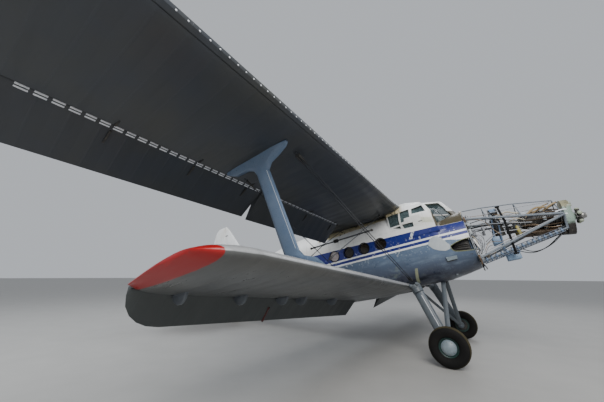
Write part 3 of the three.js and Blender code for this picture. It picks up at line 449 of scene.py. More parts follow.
finishes = {
    "white_paint": makeFuselagePaint(),
    # upper wing: silver top, underside colours are painted shade
    "upperWing": makeWingPaint("upper wing paint", wingPaint["shadedSlate"], wingPaint["shadedOlive"], 0.30),
    # lower wing: its under colours are painted shade, darker than the silver top
    "grey_paint": makeWingPaint("silver wing paint", rgb(0.100, 0.102, 0.098), rgb(0.062, 0.068, 0.074), 0.26,
                                True),
    # tail surfaces: the under colours are painted shade below the silver top
    "tailPaint": makeWingPaint("tail paint", rgb(0.20, 0.21, 0.215), rgb(0.16, 0.17, 0.18), 0.30),
    "strut_paint": makePlainPaint("blue grey paint", rgb(0.115, 0.175, 0.275), rgb(0.145, 0.205, 0.30), 0.32,
                                  wear=rgb(0.07, 0.10, 0.13)),
    "steel": makePlainPaint("worn steel", rgb(0.36, 0.36, 0.36), rgb(0.20, 0.19, 0.17), 0.36, 0.75),
    "glazing": makeGlass("acrylic panes", rgb(0.05, 0.085, 0.10), rgb(0.20, 0.28, 0.29), 0.26, 0.45),
    # nearly opaque dark panes stand for the unlit cabin seen through the windows: painted shade
    "cabinPanes": makeGlass("cabin panes darkened as painted shade", rgb(0.016, 0.013, 0.010), rgb(0.035, 0.028, 0.020), 0.80,
                            0.92),
    "paleCover": makePlainPaint("pale pane cover", rgb(0.40, 0.36, 0.35), rgb(0.26, 0.19, 0.20), 0.6,
                                scale=14.0),
    "dark_metal": makePlainPaint("oily dark metal", rgb(0.030, 0.030, 0.034), rgb(0.075, 0.070, 0.060), 0.45,
                                 0.4),
    "gearbox_green": makeGearboxPaint(),
    "seat_leather": makeLeather("dark leathercloth", rgb(0.050, 0.045, 0.040), rgb(0.085, 0.072, 0.058)),
    "tyre_rubber": makeRubber("tyre rubber", rgb(0.005, 0.005, 0.005), rgb(0.013, 0.011, 0.009)),
    "mainTyreRubber": makeRubber("main tyre rubber", rgb(0.005, 0.005, 0.005), rgb(0.013, 0.011, 0.009),
                                 {"x": axle.x, "z": axle.z, "radius": 0.372, "mud": rgb(0.060, 0.050, 0.024)}),
    # lower flap: under colours darkened further, painted shade under the lower wing's trailing edge
    "shadedFlapPaint": makeWingPaint("shaded lower flap paint", rgb(0.034, 0.041, 0.042), rgb(0.046, 0.052, 0.052), 0.36),
    "rim_paint": makePlainPaint("dark green enamel", rgb(0.010, 0.034, 0.030), rgb(0.017, 0.048, 0.042), 0.38,
                                wear=rgb(0.10, 0.12, 0.12)),
    "bareAluminium": makePlainPaint("bare aluminium", rgb(0.38, 0.39, 0.41), rgb(0.25, 0.26, 0.28), 0.42, 0.5),
    # near-white metal; also used for strips that stand for highlights and for light through gaps: painted
    # highlight
    "brightAluminium": makePlainPaint("bright aluminium", rgb(0.86, 0.88, 0.92), rgb(0.70, 0.73, 0.78), 0.40,
                                      0.15),
    "blackHose": makeRubber("black hose", rgb(0.006, 0.006, 0.007), rgb(0.016, 0.015, 0.014)),
    "brownHose": makeRubber("lagged brown hose", rgb(0.33, 0.24, 0.13), rgb(0.46, 0.38, 0.26)),
    "yellowEnamel": makePlainPaint("yellow enamel", rgb(0.44, 0.37, 0.09), rgb(0.31, 0.26, 0.07), 0.4,
                                   wear=rgb(0.18, 0.12, 0.04)),
    "copper": makePlainPaint("tarnished copper pipe", rgb(0.30, 0.21, 0.13), rgb(0.20, 0.15, 0.10), 0.4, 0.4),
    "lightBlueEnamel": makePlainPaint("light blue enamel", rgb(0.150, 0.235, 0.365), rgb(0.215, 0.305, 0.42),
                                      0.36, wear=rgb(0.10, 0.13, 0.17)),
    "cream": makePlainPaint("cream paint", rgb(0.60, 0.55, 0.42), rgb(0.46, 0.41, 0.30), 0.5,
                            wear=rgb(0.22, 0.17, 0.11)),
    "maroon": makePlainPaint("maroon paint", rgb(0.085, 0.010, 0.011), rgb(0.060, 0.008, 0.009), 0.4,
                             wear=rgb(0.28, 0.20, 0.18)),
    "primer": makePlainPaint("yellow green primer", rgb(0.21, 0.22, 0.10), rgb(0.15, 0.16, 0.08), 0.55,
                             wear=rgb(0.10, 0.10, 0.06)),
    "plateGrey": makePlainPaint("light grey plate paint", rgb(0.44, 0.48, 0.50), rgb(0.38, 0.42, 0.45), 0.42,
                                wear=rgb(0.26, 0.28, 0.29)),
    "whiteTrim": makePlainPaint("white trim paint", rgb(0.80, 0.81, 0.80), rgb(0.60, 0.59, 0.54), 0.38,
                                wear=rgb(0.36, 0.34, 0.28)),
    "dialFace": makePlainPaint("black instrument paint", rgb(0.018, 0.018, 0.020), rgb(0.030, 0.030, 0.032),
                               0.5),
    "plywood": makeLeather("worn canvas", rgb(0.20, 0.17, 0.12), rgb(0.14, 0.12, 0.085)),
    "gearPaint": makePlainPaint("gear leg grey", rgb(0.080, 0.100, 0.122), rgb(0.115, 0.130, 0.140), 0.42,
                                wear=rgb(0.05, 0.055, 0.055)),
    "hubCapPaint": makePlainPaint("hub cap grey", rgb(0.17, 0.215, 0.25), rgb(0.24, 0.29, 0.32), 0.30,
                                  wear=rgb(0.40, 0.44, 0.46)),
    "mountPaint": makePlainPaint("mount tube paint", rgb(0.115, 0.140, 0.175), rgb(0.190, 0.215, 0.240), 0.46,
                                 0.0, wear=rgb(0.09, 0.10, 0.11)),
    "trussPaint": makePlainPaint("truss pipe paint", rgb(0.055, 0.070, 0.100), rgb(0.10, 0.12, 0.15), 0.45,
                                 wear=rgb(0.22, 0.24, 0.26)),
    "blisterPaint": makePlainPaint("blister paint", rgb(0.115, 0.130, 0.150), rgb(0.080, 0.090, 0.105), 0.38),
    "rustyFitting": makePlainPaint("rusty fitting", rgb(0.17, 0.095, 0.045), rgb(0.11, 0.095, 0.085), 0.6, 0.2,
                                   scale=20.0, wear=rgb(0.42, 0.38, 0.30)),
    "darkBrownMetal": makePlainPaint("burnt brown metal", rgb(0.060, 0.036, 0.020), rgb(0.10, 0.075, 0.05),
                                     0.45, 0.5),
    "paleGreen": makePlainPaint("pale green casting", rgb(0.40, 0.44, 0.36), rgb(0.25, 0.27, 0.19), 0.5,
                                scale=14.0, wear=rgb(0.16, 0.16, 0.12)),
    "dullGreen": makePlainPaint("dull green strip", rgb(0.24, 0.25, 0.16), rgb(0.19, 0.21, 0.16), 0.55,
                                wear=rgb(0.34, 0.34, 0.28)),
    "shellGrey": makePlainPaint("seat shell grey", rgb(0.20, 0.24, 0.25), rgb(0.26, 0.29, 0.29), 0.45,
                                wear=rgb(0.38, 0.40, 0.40)),
    "wirePaint": makePlainPaint("dark streamline wire", rgb(0.012, 0.014, 0.018), rgb(0.025, 0.028, 0.034),
                                0.45, 0.1),
    "redLens": makePlainPaint("red lens", rgb(0.55, 0.012, 0.010), rgb(0.42, 0.010, 0.008), 0.12),
    "greenLens": makePlainPaint("green lens", rgb(0.012, 0.35, 0.10), rgb(0.010, 0.26, 0.08), 0.12),
}
print("finishes made")


# Modelling tools; places are level coordinates unless a note says otherwise

weldDistance = 0.00005
beside = 1.4  # outside the fuselage, from where it is looked at from the side
sideways = Matrix.Rotation(math.radians(90), 4, "X")  # local z to starboard
endways = Matrix.Rotation(math.radians(90), 4, "Y")  # local z forward


def clear():
    if bpy.context.mode != "OBJECT":
        bpy.ops.object.mode_set(mode="OBJECT")
    bpy.ops.object.select_all(action="DESELECT")


def pick(*pieces):
    clear()
    for piece in pieces:
        piece.select_set(True)
    bpy.context.view_layer.objects.active = pieces[0]
    return pieces[0]


def shape(piece):  # into edit mode with everything selected
    pick(piece)
    bpy.ops.object.mode_set(mode="EDIT")
    bpy.ops.mesh.select_all(action="SELECT")


def finished(piece, name, finish, body):  # named, painted and fixed to its body
    piece.name = piece.data.name = name
    piece.data.materials.clear()
    piece.data.materials.append(finishes[finish])
    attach(piece, body)
    return piece


def settle(piece, name, finish, body="airframe", smooth=35, level=True):  # level: drawn in level coordinates
    if level:
        piece.matrix_world = toWorld @ piece.matrix_world
    pick(piece)
    bpy.ops.object.transform_apply(location=True, rotation=True, scale=True)
    shape(piece)
    bpy.ops.mesh.remove_doubles(threshold=weldDistance)
    bpy.ops.mesh.normals_make_consistent(inside=False)
    pick(piece)
    bpy.ops.object.shade_smooth_by_angle(angle=math.radians(smooth))
    return finished(piece, name, finish, body)


def twin(piece, change=Matrix()):
    other = piece.copy()
    other.data = piece.data.copy()
    bpy.context.collection.objects.link(other)
    other.matrix_world = change @ piece.matrix_world
    return other


def joined(pieces):
    pick(*pieces)
    if len(pieces) > 1:
        bpy.ops.object.join()
    return bpy.context.object


def repeated(piece, changes):  # a copy for each change of place, in the stead of the piece itself
    bpy.context.view_layer.update()
    copies = [twin(piece, change) for change in changes]
    bpy.data.objects.remove(piece)
    return joined(copies)


def bothSides(piece, name, finish, body="airframe", smooth=35, level=True):  # drawn on the right, mirrored
    bpy.context.view_layer.update()
    other = twin(piece, Matrix.Scale(-1, 4, (0, 1, 0)))
    right = settle(piece, name + "_right", finish, body, smooth, level)
    left = settle(other, name + "_left", finish, body.replace("right", "left"), smooth, level)
    return right, left


def box(low, high, edge):
    clear()
    low, high = Vector(low), Vector(high)
    bpy.ops.mesh.primitive_cube_add(size=1, location=(low + high) / 2)
    piece = bpy.context.object
    piece.scale = high - low
    bpy.ops.object.transform_apply(location=False, rotation=False, scale=True)
    shape(piece)
    bpy.ops.mesh.bevel(offset=edge, segments=2, affect="EDGES")
    clear()
    return piece


def tube(points, radius, sides=10, curved=True):
    clear()
    bpy.ops.curve.primitive_nurbs_path_add()
    piece = bpy.context.object
    route = piece.data
    route.splines.clear()
    spline = route.splines.new("NURBS" if curved and len(points) > 2 else "POLY")
    spline.points.add(len(points) - 1)
    for point, place in zip(spline.points, points):
        point.co = (*place, 1)
    if spline.type == "NURBS":
        spline.use_endpoint_u = True
        spline.order_u = 3
    route.resolution_u = 8
    route.bevel_depth = radius
    route.bevel_resolution = max(sides // 2 - 2, 0)
    route.use_fill_caps = True
    bpy.ops.object.convert(target="MESH")
    return bpy.context.object


def placed(piece, spot, facing=Matrix()):
    piece.matrix_world = Matrix.Translation(spot) @ facing
    return piece


def stood(piece, spot, normal):  # local z along the normal, local origin at the spot
    return placed(piece, spot, normal.to_track_quat("Z", "X").to_matrix().to_4x4())


def aimed(piece, start, end):  # local z along the line, local origin at its start
    start, end = Vector(start), Vector(end)
    return stood(piece, start, end - start)


def turnedBody(rows, sides=32, closed=False):  # radius and height rows, turned about local z
    clear()
    (radius, height), *rest = rows
    bpy.ops.mesh.primitive_circle_add(vertices=sides, radius=radius, location=(0, 0, height))
    piece = bpy.context.object
    bpy.ops.object.transform_apply(location=True, rotation=False, scale=False)
    shape(piece)
    for (r0, h0), (r1, h1) in zip(rows, rest):
        bpy.ops.mesh.extrude_edges_move(TRANSFORM_OT_translate={"value": (0, 0, h1 - h0)})
        bpy.ops.transform.resize(value=(r1 / r0, r1 / r0, 1), center_override=(0, 0, h1))
    bpy.ops.mesh.select_all(action="SELECT")
    bpy.ops.mesh.remove_doubles(threshold=weldDistance)
    if not closed:
        bpy.ops.mesh.select_all(action="SELECT")
        bpy.ops.mesh.fill_holes(sides=0)
    clear()
    return piece


def plate(outline, thickness, edge=0.0015):  # x and z outline at local y 0, grown both ways in y
    clear()
    bpy.ops.mesh.primitive_circle_add(vertices=len(outline), radius=1, fill_type="NGON")
    piece = bpy.context.object
    for vertex, (x, z) in zip(piece.data.vertices, outline):
        vertex.co = (x, -thickness / 2, z)
    shape(piece)
    bpy.ops.mesh.extrude_region_move(TRANSFORM_OT_translate={"value": (0, thickness, 0)})
    bpy.ops.mesh.select_all(action="SELECT")
    bpy.ops.mesh.normals_make_consistent(inside=False)
    return softened(piece, edge)


def softened(piece, width, segments=2):  # edges sharper than 40 degrees rounded
    pick(piece)
    bevel = piece.modifiers.new("edges", "BEVEL")
    bevel.width, bevel.segments = width, segments
    bevel.limit_method, bevel.angle_limit = "ANGLE", math.radians(40)
    bpy.ops.object.modifier_apply(modifier=bevel.name)
    return piece


skinTrees = {}


def touch(name, start, along):  # where a line first meets a CAD node
    if name not in skinTrees:
        mesh = frame["nodes"][name].data
        places, faces = [v.co for v in mesh.vertices], [p.vertices for p in mesh.polygons]
        skinTrees[name] = BVHTree.FromPolygons(places, faces)
    start, along = toWorld @ Vector(start), turn.to_3x3() @ Vector(along)
    spot, normal = skinTrees[name].ray_cast(start, along)[:2]
    if spot is None:
        raise ValueError(f"no part of {name} lies along the line from {start}")
    return toWorld.inverted() @ spot, turn.to_3x3().inverted() @ normal


def hugged(outline, node, side, thickness, cuts=5, lift=0.0):  # a sheet pressed sideways on a node's skin
    clear()
    bpy.ops.mesh.primitive_circle_add(vertices=len(outline), radius=1, fill_type="TRIFAN")
    piece = bpy.context.object
    middle = [sum(axis) / len(outline) for axis in zip(*outline)]
    centre = min(piece.data.vertices, key=lambda v: v.co.length)
    rim = [v for v in piece.data.vertices if v.index != centre.index]
    for vertex, (x, z) in zip(rim, outline):
        vertex.co = (x, side * beside, z)
    centre.co = (middle[0], side * beside, middle[1])
    shape(piece)
    bpy.ops.mesh.subdivide(number_cuts=cuts)
    clear()
    for vertex in piece.data.vertices:
        spot, normal = touch(node, vertex.co, (0, -side, 0))
        vertex.co = spot + normal * lift
    pick(piece)
    solid = piece.modifiers.new("sheet", "SOLIDIFY")
    solid.thickness, solid.offset = thickness, 0
    bpy.ops.object.modifier_apply(modifier=solid.name)
    return piece


def smoothed(name, finish, smooth=38):  # a welded copy of a CAD node with smooth shading
    node = frame["nodes"][name]
    body = node["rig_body"]
    piece = node.copy()
    piece.data = node.data.copy()
    bpy.context.collection.objects.link(piece)
    piece.parent = None
    piece.matrix_world = Matrix()
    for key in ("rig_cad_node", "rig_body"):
        if key in piece:
            del piece[key]
    shape(piece)
    bpy.ops.mesh.remove_doubles(threshold=weldDistance)
    pick(piece)
    bpy.ops.object.shade_smooth_by_angle(angle=math.radians(smooth))
    weighted = piece.modifiers.new("even shading", "WEIGHTED_NORMAL")
    weighted.keep_sharp = True
    bpy.ops.object.modifier_apply(modifier=weighted.name)
    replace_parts(finished(piece, name + "_skin", finish, body), name)


# CAD pieces whose shape is right, welded and smoothly shaded

redrawnNodes = ("main_tyre", "main_hub", "tail_tyre", "tail_hub", "pilot_seat", "propeller_hub")
# finish: how the names of the nodes start that have it and not their slot's own
nodeFinishes = {
    "upperWing": ("upper_wing", "upper_flap", "aileron", "slat", "wing_centre"),
    "shadedFlapPaint": ("lower_flap",),
    "tailPaint": ("tailplane_l", "tailplane_r", "elevator"),
    "wirePaint": ("bracing_wires",),
    "cabinPanes": ("cabin_glazing",),
    "mountPaint": ("engine_mount",),
    "gearPaint": ("shock_leg", "gear_v_frame", "main_axle", "tail_leg", "tail_fork"),
}


def skinFrame():
    slots = {part["node"]: part["material_slot"] for part in frame["record"]["subparts"]}
    for name in list(frame["nodes"]):
        if not name.startswith(redrawnNodes):
            own = (finish for finish, starts in nodeFinishes.items() if name.startswith(starts))
            smoothed(name, next(own, slots[name]))


skinFrame()
print("frame skinned")

# Wheels

def bothWays(rows):  # a closed profile from the rows of its inner half
    return rows + [(radius, -height) for radius, height in reversed(rows)] + rows[:1]


mainWheel = {"hub": (-1.116, -1.67, -2.224), "bolts": 8, "boltCircle": 0.118, "boltStand": 0.103}
# rows of the wheels: radius and distance outboard
mainTyreRows = bothWays([
    (0.186, -0.064), (0.193, -0.072), (0.205, -0.092), (0.222, -0.101), (0.262, -0.112), (0.300, -0.1195),
    (0.335, -0.114), (0.345, -0.109), (0.351, -0.108), (0.372, -0.092), (0.3855, -0.071), (0.3925, -0.055),
    (0.3860, -0.052), (0.3860, -0.046), (0.3955, -0.043), (0.3985, -0.024), (0.3915, -0.021), (0.3915, -0.015),
    (0.3995, -0.012),
])
mainRimRows = [
    (0.060, 0.060), (0.140, 0.058), (0.150, 0.050), (0.160, 0.052), (0.176, 0.078), (0.188, 0.084),
    (0.190, 0.078), (0.184, 0.068), (0.178, 0.050), (0.178, -0.050), (0.184, -0.068), (0.190, -0.072),
    (0.186, -0.0745), (0.160, -0.0745), (0.150, -0.060), (0.090, -0.058), (0.060, -0.060), (0.060, 0.060),
]
mainCapRows = [
    (0.146, 0.050), (0.149, 0.056), (0.149, 0.076), (0.144, 0.082), (0.139, 0.080), (0.128, 0.096),
    (0.105, 0.113), (0.078, 0.125), (0.050, 0.1325), (0.046, 0.1370), (0.040, 0.1385), (0.020, 0.1425),
    (0.006, 0.1436),
]
brakeRows = [(0.058, -0.074), (0.140, -0.0742), (0.146, -0.068), (0.146, -0.030), (0.058, -0.028),
             (0.058, -0.074)]


def wheelPiece(rows, place, sides, closed=True):
    return placed(turnedBody(rows, sides, closed), place, sideways)


def ring(piece, place, count):  # copies round the wheel's axle
    about = Matrix.Translation(place)
    turns = [about @ Matrix.Rotation(2 * math.pi * k / count, 4, "Y") @ about.inverted() for k in range(count)]
    return repeated(piece, turns)


def addMainWheels():
    hub = Vector(mainWheel["hub"])
    tyres = bothSides(wheelPiece(mainTyreRows, hub, 96), "main_tyre_tread", "mainTyreRubber",
                      "main_wheel_right", 28)
    rims = bothSides(wheelPiece(mainRimRows, hub, 64), "main_rim", "rim_paint", "main_wheel_right", 30)
    bolt = turnedBody([(0.009, 0.0), (0.009, 0.007), (0.007, 0.009), (0.003, 0.010)], 6)
    placed(bolt, hub + Vector((mainWheel["boltCircle"], -mainWheel["boltStand"], 0)), sideways)
    bothSides(ring(bolt, hub, mainWheel["bolts"]), "main_cap_bolts", "steel", "main_wheel_right", 30)
    bothSides(wheelPiece(mainCapRows, hub, 56, False), "main_hub_cap", "hubCapPaint", "main_wheel_right", 32)
    bothSides(wheelPiece(brakeRows, hub, 48), "main_brake_drum", "dark_metal", "main_wheel_right", 30)
    valve = tube([hub + Vector((0, -0.075, 0.150)), hub + Vector((0, -0.088, 0.162))], 0.004, 8, False)
    bothSides(valve, "main_tyre_valve", "steel", "main_wheel_right", 30)
    for made, node in ((tyres, "main_tyre"), (rims, "main_hub")):
        for piece, side in zip(made, ("right", "left")):
            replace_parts(piece, f"{node}_{side}")


tailWheelRows = bothWays([
    (0.108, -0.050), (0.116, -0.062), (0.135, -0.080), (0.165, -0.093), (0.195, -0.090), (0.216, -0.075),
    (0.228, -0.052), (0.223, -0.048), (0.223, -0.043), (0.232, -0.040), (0.2345, -0.012), (0.229, -0.009),
])
tailHubRows = bothWays([
    (0.022, 0.060), (0.044, 0.060), (0.050, 0.040), (0.084, 0.032), (0.098, 0.052), (0.108, 0.056),
    (0.110, 0.050), (0.104, 0.036),
])


def addTailWheel():
    low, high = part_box("tail_tyre")
    place = toWorld.inverted() @ ((low + high) / 2)
    place.y = 0
    tyre = settle(wheelPiece(tailWheelRows, place, 72), "tail_tyre_tread", "tyre_rubber", "tail_wheel", 28)
    nut = turnedBody([(0.012, 0.0), (0.012, 0.006), (0.009, 0.008), (0.004, 0.0085)], 6)
    nuts = ring(placed(nut, place + Vector((0.066, -0.034, 0)), sideways), place, 6)
    rim = settle(joined([wheelPiece(tailHubRows, place, 48), nuts]), "tail_rim", "rim_paint", "tail_wheel", 30)
    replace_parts(tyre, "tail_tyre")
    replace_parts(rim, "tail_hub")


addMainWheels()
addTailWheel()
print("wheels made")

# Landing gear

gear = {"collar": (-1.505, -1.200, -0.950), "knee": (-1.170, -1.425, -2.185), "hose": 0.009}


def addGearDetails():
    collar, knee = Vector(gear["collar"]), Vector(gear["knee"])
    down = knee - collar
    sleeve = turnedBody([(0.108, -0.050), (0.122, -0.040), (0.126, -0.010), (0.126, 0.030), (0.120, 0.042),
                         (0.112, 0.046), (0.112, 0.110), (0.124, 0.116), (0.124, 0.140), (0.108, 0.146)], 36)
    bothSides(aimed(sleeve, collar, knee), "shock_leg_collar", "gearPaint")
    cap = turnedBody([(0.046, 0.0), (0.046, 0.030), (0.036, 0.042), (0.012, 0.046)], 20)
    placed(cap, collar + Vector((0.060, -0.085, 0.055)), Euler((0.5, 0.5, 0)).to_matrix().to_4x4())
    other = twin(cap, Matrix.Translation((-0.150, -0.010, -0.020)))
    bothSides(joined([cap, other]), "shock_leg_caps", "gearPaint")
    # a thin raised strip down the leg's face, painted near-white as the leg's highlight line
    seam = []
    for t in [0.16 + 0.08 * k for k in range(8)]:
        place = collar + down * t
        spot, normal = touch("shock_leg_right", place + Vector((0.040, -0.8, 0)), (0, 1, 0))
        seam.append(spot + normal * 0.001)
    bothSides(tube(seam, 0.006, 8), "shock_leg_seam", "brightAluminium")
    hose = [collar + Vector((0.085, -0.045, -0.10))]
    hose += [collar + down * t + Vector((0.092, -0.030, 0)) for t in (0.3, 0.5, 0.75, 0.93)]
    hose += [knee + Vector((0.055, -0.060, -0.055)), knee + Vector((0.055, -0.115, -0.035))]
    bothSides(tube(hose, gear["hose"], 8), "brake_hose", "blackHose")
    footRows = [(0.050, -0.020), (0.060, -0.014), (0.060, 0.014), (0.050, 0.020)]
    pins = [placed(turnedBody(footRows, 24), (x, -0.290, -0.925), endways) for x in (-0.973, -1.840)]
    bothSides(joined(pins), "gear_pin_bosses", "dark_metal")
    boss = turnedBody([(0.080, -0.030), (0.088, -0.024), (0.088, 0.040), (0.070, 0.052), (0.052, 0.056),
                       (0.030, 0.058)], 32)
    bothSides(placed(boss, (-1.130, -1.470, -2.205), sideways), "axle_boss", "gearPaint")


addGearDetails()
print("gear detailed")


# Wings

slotStrips = {
    "length": 0.112, "pitch": 0.150, "width": 0.022, "thick": 0.006, "stand": 0.0015, "nose": 0.092,
    "angles": (50, 72), "spans": {"aileron": (4.72, 8.38), "upper_flap": (1.40, 4.60)},
}


def hingeLine(joint):  # world place, outboard direction, forward and up squared to it, of a right-hand hinge
    found = next(j for j in frame["joints"] if j["name"] == joint)
    outboard = -Vector(found["axis"]).normalized()
    ahead = turn.to_3x3() @ Vector((1, 0, 0))
    ahead = (ahead - outboard * ahead.dot(outboard)).normalized()
    above = outboard.cross(ahead)
    if above.z < 0:
        above = -above
    return Vector(found["pos_m"]), outboard, ahead, above


# near-white strips in the slots ahead of the ailerons and flaps stand for light seen through the gap: painted
# light
def addSlotStrips():
    s = slotStrips
    for surface, (inner, outer) in s["spans"].items():
        place, outboard, ahead, above = hingeLine(surface + "_right")
        count = int((outer - inner) / s["pitch"])
        rows = []
        for angle in s["angles"]:
            a = math.radians(angle)
            out = ahead * math.cos(a) - above * math.sin(a)
            first = place + outboard * ((inner + s["length"] / 2) + place.y) / -outboard.y
            half = Vector((s["length"], s["width"], s["thick"])) / 2
            facing = Matrix((outboard, out.cross(outboard), out)).transposed().to_4x4()
            bar = placed(box(-half, half, 0.0025), first + out * (s["nose"] + s["stand"]), facing)
            step = outboard * s["pitch"] / -outboard.y
            rows.append(repeated(bar, [Matrix.Translation(step * k) for k in range(count)]))
        bothSides(joined(rows), surface + "_slot_strips", "brightAluminium", surface + "_right", 35, False)


hingeStations = {"aileron": (7.4, 6.2, 5.05), "upper_flap": (4.3, 2.93, 1.65)}  # metres outboard


def addHingeBrackets():
    lug = [(0.04, 0.012), (-0.090, 0.012), (-0.096, -0.006), (-0.090, -0.022), (-0.06, -0.024), (0.0, -0.012),
           (0.04, -0.002)]
    horn = [(0.030, 0.008), (-0.180, 0.008), (-0.170, -0.006), (-0.10, -0.020), (-0.02, -0.026),
            (0.020, -0.018)]
    for surface, stations in hingeStations.items():
        lugs = []
        for y in stations:
            spot, normal = touch("upper_wing_right", (-2.98, -y, 0.5), (0, 0, 1))
            lugs.append(placed(plate(lug, 0.022), spot + Vector((0, 0, 0.004))))
        bothSides(joined(lugs), surface + "_hinge_lugs", "dark_metal")
        place, outboard, ahead, above = hingeLine(surface + "_right")
        horns = []
        for y in stations:
            spot, normal = touch(surface + "_right", (-3.21, -y, 0.2), (0, 0, 1))
            spot, normal = toWorld @ spot, turn.to_3x3() @ normal
            forward = outboard.cross(normal).normalized()
            if forward.x < 0:
                forward = -forward
            facing = Matrix((forward, (-normal).cross(forward), -normal)).transposed().to_4x4()
            horns.append(placed(plate(horn, 0.024), spot, facing))
        bothSides(joined(horns), surface + "_hinge_horns", "dark_metal", surface + "_right", 35, False)


leadingStuds = {"pitch": 0.12, "from": 1.22, "to": 8.28, "below": 0.022}


def addLeadingStuds():
    s = leadingStuds
    ends = [touch("slat_right", (0, -y, 1.208 + (y - 0.96) * 0.0519 + s["below"]), (-1, 0, 0))[0]
            for y in (s["from"], s["to"])]
    count = int((s["to"] - s["from"]) / s["pitch"])
    stud = turnedBody([(0.011, -0.004), (0.0105, 0.002), (0.007, 0.0045), (0.002, 0.0052)], 10)
    step = (ends[1] - ends[0]) / count
    studs = repeated(placed(stud, ends[0], endways), [Matrix.Translation(step * k) for k in range(count + 1)])
    bothSides(studs, "slat_edge_studs", "brightAluminium", "slat_right")


blisterStations = (6.50, 5.50, 4.50, 3.90, 2.65)


def addBlisters():
    made = []
    for y in blisterStations:
        spot, normal = touch("lower_wing_right", (-3.10, -y, -2.5), (0, 0, 1))
        outline = [(0.14, 0.012), (-0.135, 0.012), (-0.140, -0.02), (-0.125, -0.062), (-0.09, -0.098),
                   (-0.04, -0.120), (0.01, -0.124), (0.06, -0.108), (0.105, -0.070), (0.130, -0.028)]
        foot = Vector((0.165, 0.040, 0.004))
        made += [placed(plate(outline, 0.046, 0.014), spot), box(spot - foot, spot + foot, 0.003)]
    bothSides(joined(made), "lower_wing_blisters", "blisterPaint", smooth=40)


def addFlapRods():
    rod = tube([(-3.355, -4.590, -0.870), (-3.585, -4.550, -1.075)], 0.019, 12, False)
    ends = [aimed(turnedBody([(0.014, -0.02), (0.024, -0.014), (0.024, 0.014), (0.014, 0.02)], 16), place,
                  (-3.585, -4.55, -1.075))
            for place in ((-3.365, -4.588, -0.879), (-3.560, -4.554, -1.053))]
    bothSides(joined([rod] + ends), "flap_rod", "maroon", "lower_flap_right")


fillerCaps = {"x": -2.2, "stations": (1.75, 2.55, 3.35)}
walkway = {"first": 0.78, "pitch": 0.10, "strips": 9, "front": -2.05, "rear": -2.95, "radius": 0.008}


def addWingFittings():
    caps = []
    for y in fillerCaps["stations"]:
        spot, normal = touch("upper_wing_right", (fillerCaps["x"], -y, 3.0), (0, 0, -1))
        cap = turnedBody([(0.075, -0.004), (0.075, 0.004), (0.068, 0.008), (0.052, 0.009), (0.050, 0.020),
                          (0.044, 0.024), (0.010, 0.025)], 32)
        bar = box((-0.040, -0.006, 0.022), (0.040, 0.006, 0.036), 0.003)
        caps.append(joined([cap, bar]))
        stood(caps[-1], spot, normal)
    bothSides(joined(caps), "fuel_filler_caps", "steel")
    w = walkway
    strips = []
    for y in [w["first"] + k * w["pitch"] for k in range(w["strips"])]:
        ends = [touch("lower_wing_right", (x, -y, 1.0), (0, 0, -1))[0] for x in (w["front"], w["rear"])]
        strips.append(tube([end + Vector((0, 0, 0.002)) for end in ends], w["radius"], 8, False))
    bothSides(joined(strips), "walkway_strips", "blackHose")


def addTipLights():
    lensRows = [(0.030, 0.0), (0.034, 0.010), (0.030, 0.030), (0.020, 0.044), (0.006, 0.050)]
    baseRows = [(0.046, -0.012), (0.046, 0.004), (0.036, 0.010), (0.030, 0.010)]
    spot, normal = touch("upper_wing_right", (-2.30, -8.91, 3.0), (0, 0, -1))
    for side, sideName, finish in ((-1, "right", "greenLens"), (1, "left", "redLens")):
        tilt = Matrix.Rotation(math.radians(-18 * side), 4, "X")
        for rows, name, made in ((lensRows, "tip_light", finish), (baseRows, "tip_light_base", "steel")):
            lamp = placed(turnedBody(rows, 24), (spot.x, side * abs(spot.y), spot.z), tilt)
            settle(lamp, f"{name}_{sideName}", made)


strut = {"top": 1.10, "low": -0.12, "x": -2.236, "foot": (4.91, -0.562), "lean": 0.3809}


def besideStrut(x, z, away):
    y = strut["foot"][0] + (z - strut["foot"][1]) * strut["lean"]
    return touch("interplane_strut_right", (x, -y - away, z), (0, 1, 0))


def addStrutTrim():
    # a near-white strip down the strut's rounded nose: a painted highlight
    edge = []
    for z in [strut["low"] + (strut["top"] - strut["low"]) * k / 6 for k in range(7)]:
        spot, normal = besideStrut(strut["x"], z, 0.4)
        edge.append(spot + normal * 0.001)
    bothSides(tube(edge, 0.003, 8), "strut_seam_strip", "brightAluminium")
    bolts = []
    for x, z in ((-1.80, 1.345), (-2.02, 1.315), (-2.20, 1.30), (-2.42, 1.295), (-2.62, 1.30), (-2.80, 1.315),
                 (-2.95, 1.335), (-1.95, -0.37), (-2.10, -0.31), (-2.42, -0.26)):
        bolt = turnedBody([(0.012, -0.004), (0.012, 0.003), (0.009, 0.006), (0.003, 0.007)], 12)
        bolts.append(stood(bolt, *besideStrut(x, z, 0.5)))
    bothSides(joined(bolts), "strut_bolts", "strut_paint")


wireEnds = [
    ((-1.548, 1.110, -0.800), (-1.786, 5.330, 1.330)), ((-1.598, 1.110, -0.800), (-1.836, 5.330, 1.330)),
    ((-3.150, 1.010, -0.700), (-2.860, 5.420, 1.270)), ((-1.847, 4.850, -0.380), (-1.903, 1.010, 1.120)),
    ((-2.420, 4.850, -0.380), (-3.060, 1.010, 1.060)),
]


